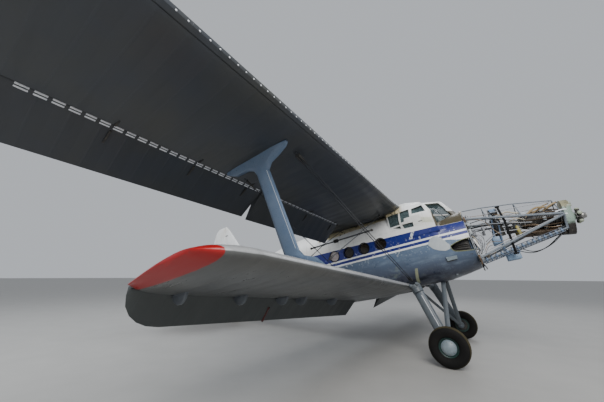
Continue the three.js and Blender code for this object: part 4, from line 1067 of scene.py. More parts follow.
def addWireFittings():
    forkRows = [(0.008, 0.0), (0.017, 0.012), (0.019, 0.05), (0.019, 0.13), (0.015, 0.15), (0.013, 0.20),
                (0.009, 0.215)]
    made = []
    for low, high in wireEnds:
        low, high = (Vector((x, -y, z)) for x, y, z in (low, high))
        along = (high - low).normalized()
        for start, way in ((low + along * 0.05, along), (high - along * 0.07, -along)):
            made.append(aimed(turnedBody(forkRows, 14), start, start + way))
            made.append(box(start - Vector((0.016, 0.010, 0.024)), start + Vector((0.016, 0.010, 0.024)),
                            0.004))
    bothSides(joined(made), "wire_turnbuckles", "dark_metal")
    knobRows = [(0.012, -0.024), (0.025, -0.018), (0.025, 0.018), (0.012, 0.024)]
    knobs = [placed(turnedBody(knobRows, 20), (x, -3.171, 0.263), endways) for x in (-1.590, -3.090)]
    bothSides(joined(knobs), "spreader_ends", "dark_metal")
    block = box((-2.485, -3.197, 0.228), (-2.385, -3.145, 0.298), 0.006)
    bothSides(block, "spreader_clamp", "blackHose")


addSlotStrips()
addHingeBrackets()
addLeadingStuds()
addBlisters()
addFlapRods()
addWingFittings()
addTipLights()
addStrutTrim()
addWireFittings()
print("wings detailed")


# Fuselage side: plates, window rims, doors, the nose opening and the windscreen bar

kidneyPlate = [
    (-0.955, -0.012), (-0.93, 0.06), (-0.86, 0.14), (-0.77, 0.173), (-0.68, 0.16), (-0.625, 0.10), (-0.55, 0.0),
    (-0.468, -0.162), (-0.50, -0.22), (-0.612, -0.242), (-0.75, -0.20), (-0.87, -0.13),
]
stepPlate = [(-0.664, -0.395), (-0.426, -0.396), (-0.431, -0.461), (-0.658, -0.482)]
sideStrip = [(-1.382, -0.503), (-1.450, -0.503), (-1.520, -0.740), (-1.545, -0.860), (-1.465, -0.860),
             (-1.442, -0.740)]


def screws(outline, node, inset=0.018, size=0.005):  # one inside each corner of an outline on the right
    middle = Vector([sum(axis) / len(outline) for axis in zip(*outline)])
    made = []
    for corner in outline:
        x, z = Vector(corner) + (middle - Vector(corner)).normalized() * inset
        screw = turnedBody([(size, -0.002), (size, 0.0045), (size * 0.8, 0.006), (size * 0.2, 0.0064)], 10)
        made.append(stood(screw, *touch(node, (x, -beside, z), (0, 1, 0))))
    return joined(made)


def addSidePlates():
    nose = "nose_fuselage"
    # a thin dark plate just below the step: the step's shadow painted as a sheet
    stepShadow = [(x - 0.006, z - 0.028) for x, z in stepPlate]
    bothSides(hugged(kidneyPlate, nose, -1, 0.010, 7, 0.004), "kidney_plate", "plateGrey", smooth=30)
    bothSides(screws(kidneyPlate, nose), "kidney_plate_screws", "steel")
    bothSides(hugged(stepPlate, nose, -1, 0.052, 3, 0.024), "side_step", "hubCapPaint", smooth=30)
    bothSides(hugged(stepShadow, nose, -1, 0.014, 3, 0.004), "side_step_foot", "dark_metal", smooth=30)
    bothSides(hugged(sideStrip, nose, -1, 0.008, 5, 0.003), "side_strip", "dullGreen", smooth=30)
    hatches = []
    for x, z, length, height in ((-1.05, -0.50, 0.30, 0.17), (-1.62, -0.24, 0.16, 0.12)):
        corners = [(x + i * length / 2, z + k * height / 2) for i, k in ((-1, -1), (1, -1), (1, 1), (-1, 1))]
        hatches += [hugged(corners, nose, -1, 0.0035, 5, 0.0015), screws(corners, nose, 0.016, 0.004)]
    bothSides(joined(hatches), "nose_hatches", "white_paint", smooth=30)
    lamp = turnedBody([(0.040, -0.006), (0.040, 0.008), (0.034, 0.014), (0.032, 0.020), (0.024, 0.034),
                       (0.006, 0.040)], 24)
    settle(stood(lamp, *touch(nose, (-0.590, -0.475, -1.5), (0, 0, 1))), "belly_light", "gearPaint")


noseOpening = [(-0.015, -0.054), (-0.13, -0.054), (-0.262, -0.077), (-0.404, -0.121), (-0.482, -0.160),
               (-0.480, -0.200), (-0.464, -0.240), (-0.431, -0.297), (-0.252, -0.333), (-0.015, -0.352)]


def addNoseOpening():
    rim = []
    for x, z in noseOpening:
        spot, normal = touch("nose_fuselage", (x, -beside, z), (0, 1, 0))
        rim.append(spot + normal * 0.002)
    bothSides(tube(rim, 0.009, 8), "opening_rim", "primer")
    # dark boxes behind the nose opening close the view through the hollow: a dark sheet standing for its shade
    back = box((-0.70, -0.640, -0.44), (-0.070, -0.628, 0.03), 0.002)
    over = box((-0.70, -0.770, 0.020), (-0.070, -0.630, 0.030), 0.002)
    under = box((-0.70, -0.690, -0.44), (-0.070, -0.630, -0.43), 0.002)
    bothSides(joined([back, over, under]), "cooling_duct", "dark_metal")
    pipes = [tube([(-0.45, -0.655, z), (-0.30, -0.690, z + 0.015), (-0.09, -0.665, z - 0.02)], 0.011, 10)
             for z in (-0.16, -0.20, -0.26)]
    bothSides(joined(pipes), "duct_pipes", "dark_metal")


firewallRim = {"radius": 0.768, "thick": 0.010, "from": 50, "to": 130}


def addFirewallRim():
    f = firewallRim
    for name, start, end, finish in (("firewall_rim_top", f["from"], f["to"], "cream"),
                                     ("firewall_rim", f["to"], 360 + f["from"], "plateGrey")):
        arc = [math.radians(start + (end - start) * k / 40) for k in range(41)]
        rim = [(0.004, f["radius"] * math.cos(a), f["radius"] * math.sin(a)) for a in arc]
        settle(tube(rim, f["thick"], 8), name, finish)


cabinPortholes = {"z": 0.350, "flat": 0.19, "x": (-2.150, -2.660, -3.160, -3.650), "doorX": -4.535}


def besideWindow(x, side, node):  # y and normal of the skin a little forward of a round window
    spot, normal = touch(node, (x + cabinPortholes["flat"], side * beside, cabinPortholes["z"]), (0, -side, 0))
    return spot.y, normal


def porthole(x, side, node):
    rows = [(0.1485, -0.010), (0.1485, 0.005), (0.154, 0.008), (0.170, 0.006), (0.173, 0.001), (0.173, -0.003),
            (0.154, -0.010), (0.1485, -0.010)]
    y, normal = besideWindow(x, side, node)
    return stood(turnedBody(rows, 48, True), (x, y, cabinPortholes["z"]), normal)


def addPortholes():
    p = cabinPortholes
    for side, sideName, places in ((-1, "right", p["x"]), (1, "left", p["x"][:3])):
        rims = [porthole(x, side, "cabin_fuselage") for x in places]
        settle(joined(rims), "porthole_rims_" + sideName, "blackHose")
    settle(porthole(p["doorX"], 1, "passenger_door"), "porthole_rim_door", "blackHose", "passenger_door")
    y, normal = besideWindow(p["doorX"], 1, "passenger_door")
    pane = turnedBody([(0.1475, -0.002), (0.1475, 0.002), (0.140, 0.003), (0.070, 0.0035), (0.010, 0.0035)], 40)
    stood(pane, (p["doorX"], y - 0.005, p["z"]), normal)
    settle(pane, "porthole_pane_door", "cabinPanes", "passenger_door")
    blank = turnedBody([(0.1465, -0.003), (0.1465, 0.002), (0.140, 0.004), (0.05, 0.005), (0.01, 0.005)], 40)
    settle(placed(blank, (p["x"][3], -0.884, p["z"]), sideways), "porthole_cover", "paleCover")


def addWindscreenBar():
    bar = []
    for y in (-0.80, -0.65, -0.50, -0.35, -0.22):
        spot, normal = touch("windscreen_glass", (0.5, y, 0.74), (-1, 0, 0))
        bar.append(spot + normal * 0.008)
    bothSides(tube(bar, 0.016, 10), "windscreen_bar", "whiteTrim")
    wiper = []
    for y, z in ((-0.34, 0.585), (-0.38, 0.66), (-0.45, 0.79), (-0.50, 0.88)):
        spot, normal = touch("windscreen_glass", (0.5, y, z), (-1, 0, 0))
        wiper.append(spot + normal * (0.020 if z < 0.8 else 0.012))
    bothSides(tube(wiper, 0.006, 8), "wiper_arm", "blackHose")
    spot, normal = touch("nose_fuselage", (-0.938, -beside, 0.655), (0, 1, 0))
    bends = ((-0.05, 0.0, 0), (-0.04, -0.022, 0), (0.03, -0.022, 0.004), (0.045, 0.0, 0.004))
    bothSides(tube([spot + Vector(bend) for bend in bends], 0.007, 8), "sill_handle", "dark_metal")


doorFittings = {"hinges": (-4.30, -4.78, -5.26), "handle": (-4.26, -0.02), "cargoHandle": (-5.36, -0.20)}


def addDoorFittings():
    d = doorFittings
    straps = []
    for x in d["hinges"]:
        strap = [(x - 0.050, 0.762), (x + 0.050, 0.762), (x + 0.060, 0.806), (x - 0.060, 0.806)]
        straps.append(hugged(strap, "cargo_door", 1, 0.007, 5, 0.003))
    settle(joined(straps), "cargo_door_straps", "steel", "cargo_door")
    for name, node, (x, z) in (("passenger_door_handle", "passenger_door", d["handle"]),
                               ("cargo_door_handle", "cargo_door", d["cargoHandle"])):
        spot, normal = touch(node, (x, beside, z), (0, -1, 0))
        rose = turnedBody([(0.030, -0.002), (0.030, 0.006), (0.016, 0.010), (0.014, 0.024), (0.008, 0.028)], 24)
        bends = ((0.004, 0.020, 0.0), (-0.045, 0.024, -0.006), (-0.120, 0.018, -0.020))
        bar = tube([spot + Vector(bend) for bend in bends], 0.009, 10)
        settle(joined([stood(rose, spot, normal), bar]), name, "steel", node)
    step = [tube([(x, 0.850, -0.800), (x, 0.905, -0.870), (x, 0.905, -0.905)], 0.012, 10)
            for x in (-4.34, -4.74)]
    step.append(tube([(-4.34, 0.905, -0.900), (-4.74, 0.905, -0.900)], 0.014, 10, False))
    settle(joined(step), "door_step", "steel")


addSidePlates()
addNoseOpening()
addFirewallRim()
addPortholes()
addWindscreenBar()
addDoorFittings()
print("fuselage detailed")


# Cockpit and cabin furniture

seat = {"panLow": (-1.450, -0.640, -0.160), "panHigh": (-1.020, -0.220, -0.115), "backTop": 0.545,
        "backThick": 0.035, "fill": 0.7, "legX": (-1.370, -1.110), "legY": (-0.560, -0.300)}


def paddedPiece(low, high, swell, channels, axis):  # a cushion blown up by cloth simulation, then seamed
    clear()
    low, high = Vector(low), Vector(high)
    bpy.ops.mesh.primitive_cube_add(size=1, location=(low + high) / 2)
    piece = bpy.context.object
    piece.scale = (high - low) * 0.94
    bpy.ops.object.transform_apply(location=True, rotation=False, scale=True)
    softened(piece, 0.016, 3)
    fine = piece.modifiers.new("fine", "REMESH")
    fine.mode, fine.voxel_size = "VOXEL", 0.009
    bpy.ops.object.modifier_apply(modifier=fine.name)
    start = [v.co.copy() for v in piece.data.vertices]
    cloth = piece.modifiers.new("padding", "CLOTH")
    cloth.settings.use_pressure = True
    cloth.settings.uniform_pressure_force = 4
    cloth.settings.effector_weights.gravity = 0
    for k in range(1, 13):
        bpy.context.scene.frame_set(k)
    pick(piece)
    bpy.ops.object.modifier_apply(modifier=cloth.name)
    bpy.context.scene.frame_set(1)
    across = 1 if axis == 0 else 0
    for vertex, first in zip(piece.data.vertices, start):
        moved = vertex.co - first
        if moved.length > swell:
            vertex.co = first + moved.normalized() * swell
        run = (first[axis] - low[axis]) / (high[axis] - low[axis]) * channels
        dip = math.exp(-((run - round(run)) * 14) ** 2) if 0.3 < run < channels - 0.3 else 0.0
        middle = (low + high) / 2
        vertex.co += (middle - vertex.co).normalized() * dip * 0.010
        for k in range(3):
            vertex.co[k] = min(max(vertex.co[k], low[k]), high[k])
    smooth = piece.modifiers.new("even", "SMOOTH")
    smooth.iterations = 2
    pick(piece)
    bpy.ops.object.modifier_apply(modifier=smooth.name)
    return piece


def addSeats():
    s = seat
    low, high = Vector(s["panLow"]), Vector(s["panHigh"])
    pan = box(low, (high.x, high.y, low.z + 0.030), 0.010)
    lipLeft = box((low.x, low.y, low.z), (high.x, low.y + 0.020, high.z + 0.020), 0.007)
    lipRight = box((low.x, high.y - 0.020, low.z), (high.x, high.y, high.z + 0.020), 0.007)
    back = box((-1.540, -0.640, -0.150), (-1.540 + s["backThick"], -0.220, s["backTop"]), 0.014)
    rest = box((-1.535, -0.560, s["backTop"] - 0.02), (-1.500, -0.300, 0.558), 0.010)
    shells = bothSides(joined([pan, lipLeft, lipRight, back, rest]), "seat_shell", "shellGrey")
    for shell, side in zip(shells, ("right", "left")):
        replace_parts(shell, f"pilot_seat_{side}")
    rear, front = s["legX"]
    footRows = [(0.030, 0.0), (0.030, 0.006), (0.018, 0.010), (0.015, 0.03)]
    legs = []
    for y in s["legY"]:
        for x in s["legX"]:
            legs.append(tube([(x, y, -0.150), (x, y, -0.735)], 0.014, 10, False))
            legs.append(aimed(turnedBody(footRows, 16), (x, y, -0.744), (x, y, 0)))
        legs.append(tube([(rear, y, -0.200), (front, y, -0.700)], 0.010, 8, False))
        legs.append(tube([(rear, y, -0.700), (front, y, -0.700)], 0.011, 8, False))
    bothSides(joined(legs), "seat_legs", "steel")
    bottom = paddedPiece((low.x + 0.02, low.y + 0.025, low.z + 0.032),
                         (high.x - 0.005, high.y - 0.025, low.z + 0.100), 0.012, 4, 1)
    upright = paddedPiece((-1.503, -0.620, -0.050), (-1.440, -0.240, 0.520), 0.012, 5, 2)
    for piece, name in ((bottom, "seat_cushion"), (upright, "back_cushion")):
        for made in bothSides(piece, name, "seat_leather", smooth=60):
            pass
    bands = [box((-1.438, y - 0.022, -0.020), (-1.434, y + 0.022, 0.500), 0.0015) for y in (-0.500, -0.360)]
    bands.append(box((-1.432, -0.470, 0.020), (-1.426, -0.390, 0.070), 0.002))
    bothSides(joined(bands), "seat_belts", "plywood")


panel = {"columns": (-0.55, -0.44, -0.33, -0.22, -0.05, 0.05, 0.22, 0.33, 0.44, 0.55),
         "rows": ((0.42, 0.042), (0.30, 0.042), (0.19, 0.034)),  # height and dial radius
         "face": -0.622}


def addPanel():
    rims, faces, marks = [], [], []
    for y in panel["columns"]:
        for z, r in panel["rows"]:
            turned = Matrix.Translation((panel["face"], y, z)) @ Matrix.Rotation(math.radians(-90), 4, "Y")
            rim = turnedBody([(r, -0.002), (r * 1.12, -0.001), (r * 1.12, 0.008), (r, 0.010), (r * 0.94, 0.006),
                              (r * 0.94, 0.0), (r, -0.002)], 24, True)
            face = turnedBody([(r * 0.97, -0.001), (r * 0.97, 0.003), (r * 0.3, 0.0035), (r * 0.05, 0.004)], 24)
            hand = box((-0.002, -0.0015, 0.004), (r * 0.75, 0.0015, 0.0055), 0.0005)
            hand.matrix_world = (turned @ Matrix.Rotation(y * 9 + z * 20, 4, "Z")
                                 @ Matrix.Translation((r * 0.36, 0, 0.0050)))
            rim.matrix_world = face.matrix_world = turned
            rims.append(rim)
            faces.append(face)
            marks.append(hand)
    settle(joined(rims), "dial_rims", "plateGrey")
    settle(joined(faces), "dial_faces", "dialFace")
    settle(joined(marks), "dial_hands", "whiteTrim")
    pedestal = [box((-0.800, -0.095, -0.743), (-0.622, 0.095, -0.12), 0.012),
                box((-0.820, -0.090, -0.14), (-0.622, 0.090, 0.02), 0.020)]
    for y in (-0.045, 0.0, 0.045):
        pedestal.append(tube([(-0.74, y, 0.010), (-0.76, y, 0.085)], 0.006, 8, False))
        knob = turnedBody([(0.008, -0.014), (0.015, -0.008), (0.015, 0.008), (0.008, 0.014)], 14)
        pedestal.append(aimed(knob, (-0.763, y, 0.095), (-0.79, y, 0.2)))
    settle(joined(pedestal), "pedestal", "shellGrey")


def addYokes():
    bends = [(-0.905, -0.430, -0.740), (-0.900, -0.430, -0.20), (-0.905, -0.430, 0.125)]
    column = tube(bends, 0.020, 12, False)
    hub = aimed(turnedBody([(0.018, 0.0), (0.032, 0.006), (0.032, 0.040), (0.018, 0.050)], 20),
                (-0.885, -0.430, 0.140), (-0.980, -0.430, 0.150))
    angles = [math.radians(-215 + 25 * k) for k in range(11)]
    wheel = tube([(-0.942, -0.430 + 0.150 * math.cos(a), 0.150 + 0.125 * math.sin(a)) for a in angles], 0.012,
                 10)
    spoke = tube([(-0.935, -0.560, 0.150), (-0.930, -0.430, 0.146), (-0.935, -0.300, 0.150)], 0.011, 8)
    bothSides(joined([column, hub, wheel, spoke]), "control_yoke", "dialFace")
    pedals = []
    for y in (-0.53, -0.34):
        pedals.append(box((-0.520, y - 0.045, -0.60), (-0.500, y + 0.045, -0.50), 0.005))
        pedals.append(tube([(-0.505, y, -0.550), (-0.455, y, -0.735)], 0.011, 8, False))
    bothSides(joined(pedals), "rudder_pedals", "steel")


benches = {"first": -2.20, "pitch": 0.44, "count": 4, "half": 0.19, "firstLeg": -2.05, "legPitch": 0.55}


def addCabin():
    b = benches
    made = []
    for x in [b["first"] - b["pitch"] * k for k in range(b["count"])]:
        made.append(box((x - b["half"], -0.800, -0.330), (x + b["half"], -0.480, -0.305), 0.006))
        made.append(box((x - b["half"], -0.815, -0.300), (x + b["half"], -0.795, 0.060), 0.006))
    bothSides(joined(made), "cabin_benches", "plywood")
    rails = [tube([(-2.00, -0.49, -0.325), (-3.72, -0.49, -0.325)], 0.013, 10, False)]
    for x in [b["firstLeg"] - b["legPitch"] * k for k in range(b["count"])]:
        rails.append(tube([(x, -0.49, -0.330), (x, -0.52, -0.735)], 0.011, 8, False))
    bothSides(joined(rails), "bench_rails", "steel")


addSeats()
addPanel()
addYokes()
addCabin()
print("cockpit furnished")


# Engine bay: what hangs on the mount, drawn on the right and repeated on the left unless noted

# finish: (radius, points) of each pipe
mountPipes = {
    "bareAluminium": [
        (0.013, [(0.04, -0.46, 0.28), (0.30, -0.40, 0.24), (0.62, -0.36, 0.17), (1.00, -0.34, 0.08),
                 (1.32, -0.30, 0.0)]),
        (0.008, [(0.04, -0.52, 0.12), (0.14, -0.55, 0.05), (0.20, -0.54, -0.14), (0.14, -0.55, -0.40),
                 (0.05, -0.56, -0.46)]),
        (0.008, [(0.04, -0.44, 0.02), (0.18, -0.46, 0.02), (0.24, -0.48, -0.10), (0.16, -0.50, -0.30),
                 (0.04, -0.52, -0.34)]),
        (0.010, [(0.10, -0.58, -0.46), (0.48, -0.49, -0.37), (0.95, -0.42, -0.25), (1.40, -0.35, -0.12),
                 (1.80, -0.31, -0.02)]),
        (0.007, [(0.50, -0.50, 0.44), (0.90, -0.44, 0.43), (1.35, -0.36, 0.40), (1.80, -0.26, 0.36)]),
        (0.007, [(0.04, -0.30, 0.10), (0.22, -0.31, 0.13), (0.30, -0.32, -0.05), (0.24, -0.34, -0.28),
                 (0.06, -0.36, -0.44)]),
        (0.009, [(0.30, -0.36, -0.20), (0.52, -0.34, -0.05), (0.78, -0.32, -0.06), (1.08, -0.28, -0.10)]),
        (0.006, [(0.62, -0.30, 0.36), (0.70, -0.31, 0.18), (0.78, -0.30, 0.16), (0.98, -0.28, 0.22),
                 (1.20, -0.24, 0.14)]),
    ],
    "blackHose": [
        (0.009, [(1.86, -0.22, -0.33), (1.72, -0.21, -0.42), (1.50, -0.20, -0.575), (1.24, -0.20, -0.665),
                 (1.03, -0.24, -0.64), (0.86, -0.36, -0.50)]),
        (0.016, [(0.04, -0.36, 0.20), (0.40, -0.35, 0.20), (0.80, -0.33, 0.11), (1.12, -0.24, 0.04)]),
        (0.010, [(0.02, -0.47, -0.60), (0.06, -0.48, -0.70), (0.02, -0.46, -0.78), (0.03, -0.45, -0.84)]),
        (0.008, [(0.03, -0.38, -0.66), (0.08, -0.39, -0.74), (0.09, -0.40, -0.82)]),
        (0.012, [(0.58, -0.42, 0.52), (0.66, -0.40, 0.40), (0.60, -0.38, 0.26), (0.72, -0.34, 0.10),
                 (0.92, -0.30, -0.02)]),
        (0.009, [(0.05, -0.28, 0.34), (0.34, -0.30, 0.37), (0.58, -0.33, 0.32), (0.84, -0.34, 0.20),
                 (1.10, -0.26, 0.12)]),
        (0.009, [(1.20, -0.22, -0.20), (1.30, -0.26, -0.34), (1.52, -0.26, -0.40), (1.72, -0.24, -0.30)]),
    ],
    "brownHose": [
        (0.024, [(1.26, -0.20, 0.16), (1.36, -0.24, 0.24), (1.47, -0.25, 0.30), (1.58, -0.25, 0.31),
                 (1.70, -0.23, 0.26)]),
        (0.020, [(1.62, -0.18, 0.20), (1.77, -0.16, 0.28), (1.87, -0.14, 0.32), (1.94, -0.12, 0.33)]),
        (0.015, [(1.40, -0.16, 0.20), (1.52, -0.19, 0.24), (1.66, -0.17, 0.33), (1.78, -0.18, 0.34)]),
        (0.012, [(0.05, -0.46, -0.52), (0.14, -0.50, -0.58), (0.24, -0.48, -0.52), (0.44, -0.46, -0.44)]),
    ],
    "cream": [
        (0.017, [(0.72, -0.30, 0.33), (0.84, -0.30, 0.38), (0.97, -0.30, 0.39), (1.06, -0.28, 0.32),
                 (1.17, -0.26, 0.30), (1.28, -0.20, 0.22)]),
        (0.013, [(0.92, -0.24, 0.14), (1.02, -0.26, 0.18), (1.14, -0.25, 0.17), (1.24, -0.22, 0.10)]),
        (0.009, [(0.05, -0.60, -0.02), (0.12, -0.61, -0.10), (0.10, -0.60, -0.26), (0.05, -0.58, -0.36)]),
    ],
    "copper": [
        (0.007, [(0.04, -0.40, 0.42), (0.24, -0.42, 0.40), (0.44, -0.40, 0.30), (0.52, -0.38, 0.06),
                 (0.66, -0.34, -0.14)]),
        (0.006, [(1.12, -0.22, -0.04), (1.26, -0.27, -0.02), (1.44, -0.27, -0.10), (1.58, -0.25, -0.22),
                 (1.80, -0.22, -0.22)]),
        (0.006, [(0.20, -0.54, -0.42), (0.30, -0.50, -0.26), (0.44, -0.44, -0.24), (0.60, -0.38, -0.30),
                 (0.88, -0.34, -0.22)]),
        (0.006, [(0.18, -0.24, 0.52), (0.46, -0.22, 0.48), (0.80, -0.20, 0.40), (1.16, -0.16, 0.24)]),
    ],
}


def addMountPipes():
    for finish, runs in mountPipes.items():
        bothSides(joined([tube(points, radius, 8) for radius, points in runs]), f"engine_pipes_{finish}",
                  finish)
    ends = []
    for runs in mountPipes.values():
        for radius, points in runs:
            for place, toward in ((points[0], points[1]), (points[-1], points[-2])):
                nut = turnedBody([(radius, -0.010), (radius + 0.006, -0.008), (radius + 0.006, 0.014),
                                  (radius, 0.017)], 6)
                ends.append(aimed(nut, place, toward))
    bothSides(joined(ends), "engine_pipe_nuts", "steel", smooth=30)


strap = {"high": (0.800, -0.470, 0.520), "low": (0.765, -0.430, -0.600), "width": 0.054, "thick": 0.012}


def addMountStrap():  # the broad dark strap from the upper tube down to the lower one, on the right alone
    high, low = Vector(strap["high"]), Vector(strap["low"])
    bend = Vector((0.825, -0.462, 0.16))
    pieces = []
    for start, end in ((high, bend), (bend, low)):
        length = (end - start).length
        half = Vector((strap["width"] / 2, strap["thick"] / 2, length / 2 + 0.01))
        pieces.append(aimed(box(-half, half, 0.003), (start + end) / 2, end))
    for place in (high + Vector((0, 0.004, 0.012)), low + Vector((0, 0.002, -0.020))):
        pieces.append(box(place - Vector((0.048, 0.022, 0.020)), place + Vector((0.048, 0.022, 0.020)), 0.006))
    settle(joined(pieces), "mount_strap", "blackHose")


truss = {"start": (0.10, -0.495, -0.632), "end": (1.82, -0.229, -0.312), "clamps": 15}


def addTruss():  # the clamped pipe run along the lowest tube
    start, end, count = Vector(truss["start"]), Vector(truss["end"]), truss["clamps"]
    along = (end - start) / count
    clamp = turnedBody([(0.020, -0.024), (0.031, -0.022), (0.033, -0.014), (0.033, 0.014), (0.031, 0.022),
                        (0.020, 0.024)], 20)
    tab = box((-0.042, -0.018, -0.016), (0.050, 0.018, 0.016), 0.004)
    bolt = turnedBody([(0.008, 0.016), (0.008, 0.024), (0.004, 0.026)], 6)
    first = aimed(joined([clamp, tab, bolt]), start + along / 2, end)
    clamps = repeated(first, [Matrix.Translation(along * k) for k in range(count)])
    bothSides(clamps, "truss_clamps", "strut_paint")
    low, high = Vector((0.0, -0.012, -0.046)), Vector((0.0, -0.018, 0.050))
    rails = [tube([start + low, end + low], 0.010, 8, False), tube([start + high, end + high], 0.008, 8, False)]
    rungs = []
    for k in range(count + 1):
        spot = start + along * k
        rungs.append(tube([spot + low, spot + along * (0.5 if k < count else 0) + high], 0.006, 6, False))
    bothSides(joined(rails + rungs), "truss_pipes", "trussPaint")


# low corner, high corner, edge
blueBoxes = [
    ((0.44, -0.31, -0.31), (0.60, -0.19, -0.13), 0.012),
    ((0.585, -0.27, -0.745), (0.860, -0.13, -0.605), 0.014),
    ((0.035, -0.42, -0.28), (0.13, -0.30, -0.10), 0.010),
    ((0.60, -0.40, 0.44), (0.74, -0.30, 0.54), 0.010),
]
greyBoxes = [
    ((0.035, -0.66, 0.02), (0.085, -0.54, 0.16), 0.008), ((0.035, -0.60, 0.24), (0.110, -0.48, 0.33), 0.010),
    ((0.035, -0.20, 0.28), (0.140, -0.06, 0.48), 0.014), ((0.035, -0.28, -0.62), (0.120, -0.14, -0.46), 0.012),
    ((0.58, -0.30, 0.36), (0.66, -0.22, 0.44), 0.010), ((1.16, -0.30, 0.20), (1.30, -0.20, 0.28), 0.012),
]


def addBoxes():
    screw = [(0.006, -0.002), (0.006, 0.003), (0.002, 0.004)]
    for name, rows, finish in (("blue_boxes", blueBoxes, "lightBlueEnamel"),
                               ("grey_boxes", greyBoxes, "plateGrey")):
        made = []
        for low, high, edge in rows:
            made.append(box(low, high, edge))
            x, y, z = (Vector(low) + Vector(high)) / 2
            across, deep, above = (Vector(high) - Vector(low)) / 2
            y -= deep
            made.append(box((x - across * 0.86, y - 0.006, z - above * 0.84),
                            (x + across * 0.86, y + 0.004, z + above * 0.84), 0.003))
            for i in (-0.72, 0.72):
                for k in (-0.68, 0.68):
                    made.append(placed(turnedBody(screw, 8), (x + across * i, y - 0.006, z + above * k),
                                       sideways))
        bothSides(joined(made), name, finish, smooth=30)
    posts = [tube([(0.60, -0.24, 0.30), (0.48, -0.24, -0.20)], 0.019, 12, False),
             tube([(0.71, -0.24, 0.22), (0.60, -0.26, -0.34), (0.60, -0.27, -0.60)], 0.017, 12)]
    bothSides(joined(posts), "bay_struts", "strut_paint")
    shelf = [box((0.56, y - 0.010, -0.60), (0.88, y + 0.010, -0.575), 0.004) for y in (-0.315, -0.105)]
    shelf.append(tube([(0.60, -0.315, -0.585), (0.52, -0.44, -0.575)], 0.011, 8, False))
    shelf.append(tube([(0.84, -0.315, -0.585), (0.86, -0.37, -0.505)], 0.011, 8, False))
    bothSides(joined(shelf), "bay_shelf", "strut_paint")


def addAccessories():  # dark drums on the centre line, held between the bay struts
    made = []
    for start, end, r in (((0.59, 0, 0.52), (0.80, 0, 0.50), 0.085), ((0.66, 0, -0.12), (0.66, 0, 0.33), 0.115),
                          ((0.80, 0, -0.02), (1.07, 0, -0.03), 0.100)):
        long = (Vector(end) - Vector(start)).length
        rows = [(r * 0.4, 0.0), (r * 0.92, 0.006), (r, 0.020), (r, long * 0.30), (r * 1.07, long * 0.31),
                (r * 1.07, long * 0.36), (r, long * 0.37), (r, long - 0.020), (r * 0.9, long - 0.006),
                (r * 0.35, long)]
        made.append(aimed(turnedBody(rows, 32), start, end))
    made.append(tube([(0.66, 0, 0.30), (0.66, 0, 0.46)], 0.030, 16, False))
    for side in (-1, 1):
        made.append(tube([(0.552, side * 0.24, 0.10), (0.60, side * 0.08, 0.10)], 0.013, 8, False))
        made.append(tube([(0.690, side * 0.245, 0.12), (0.68, side * 0.08, 0.12)], 0.013, 8, False))
    settle(joined(made), "bay_accessories", "dark_metal", smooth=30)


def addBottles():
    can = turnedBody([(0.020, -0.100), (0.034, -0.096), (0.038, -0.085), (0.038, 0.085), (0.034, 0.096),
                      (0.018, 0.104), (0.016, 0.125), (0.006, 0.128)], 24)
    bothSides(aimed(can, (1.022, -0.262, -0.110), (1.012, -0.262, 0.10)), "yellow_bottle", "yellowEnamel")
    bands = [aimed(turnedBody([(0.036, -0.008), (0.041, -0.007), (0.041, 0.007), (0.036, 0.008)], 24),
                   (1.022 - t * 0.05, -0.262, -0.110 + t), (1.012, -0.262, 0.10)) for t in (-0.055, 0.055)]
    bands.append(tube([(1.03, -0.262, -0.16), (1.03, -0.22, -0.20), (1.08, -0.20, -0.18)], 0.010, 8))
    bothSides(joined(bands), "yellow_bottle_bands", "steel")
    pots = []
    for x, y, z, r, h in ((0.09, -0.50, -0.20, 0.045, 0.13), (0.10, -0.16, 0.10, 0.060, 0.16),
                          (0.10, -0.36, 0.50, 0.040, 0.10), (0.34, -0.42, 0.10, 0.034, 0.12),
                          (1.04, -0.16, 0.02, 0.075, 0.14)):
        pot = turnedBody([(r * 0.5, -h / 2), (r * 0.94, -h / 2 + 0.004), (r, -h / 2 + 0.014), (r, h / 2 - 0.03),
                          (r * 1.1, h / 2 - 0.026), (r * 1.1, h / 2 - 0.012), (r * 0.8, h / 2 - 0.004),
                          (r * 0.3, h / 2), (r * 0.25, h / 2 + 0.02), (r * 0.1, h / 2 + 0.022)], 24)
        pots.append(placed(pot, (x, y, z)))
    bothSides(joined(pots), "filter_pots", "bareAluminium", smooth=30)
    jack = turnedBody([(0.012, 0.0), (0.025, 0.006), (0.025, 0.105), (0.029, 0.110), (0.029, 0.128),
                       (0.023, 0.134), (0.023, 0.215), (0.010, 0.226), (0.010, 0.270), (0.004, 0.272)], 24)
    bothSides(aimed(jack, (0.050, -0.610, -0.095), (0.110, -0.610, -0.330)), "bay_jack", "whiteTrim", smooth=30)
    feet = []
    for y, z in ((-0.64, 0.418), (-0.60, -0.56), (-0.50, -0.64)):
        flange = turnedBody([(0.078, -0.016), (0.082, -0.012), (0.082, -0.004), (0.066, 0.0), (0.062, 0.020),
                             (0.034, 0.034)], 28)
        nut = placed(turnedBody([(0.011, -0.004), (0.011, 0.008), (0.004, 0.010)], 6), (0.070, 0, 0))
        turns = [Matrix.Rotation(math.radians(60 * k + 30), 4, "Z") for k in range(6)]
        feet.append(aimed(joined([flange, repeated(nut, turns)]), (0.034, y, z), (0.2, y, z)))
    bothSides(joined(feet), "mount_foot_flanges", "rustyFitting", smooth=30)


engineAxis = {"place": (2.006, 0, -0.045), "droop": 9}
engineBody = {"fins": 11, "firstFin": -0.56, "finPitch": 0.032, "rods": 9, "gearboxBolts": 20, "sockets": 5}


def onAxis(along, across=0.0, above=0.0):
    droop = math.radians(engineAxis["droop"])
    x, y, z = engineAxis["place"]
    return Vector((x + along * math.cos(droop) + above * math.sin(droop), y + across,
                   z - along * math.sin(droop) + above * math.cos(droop)))


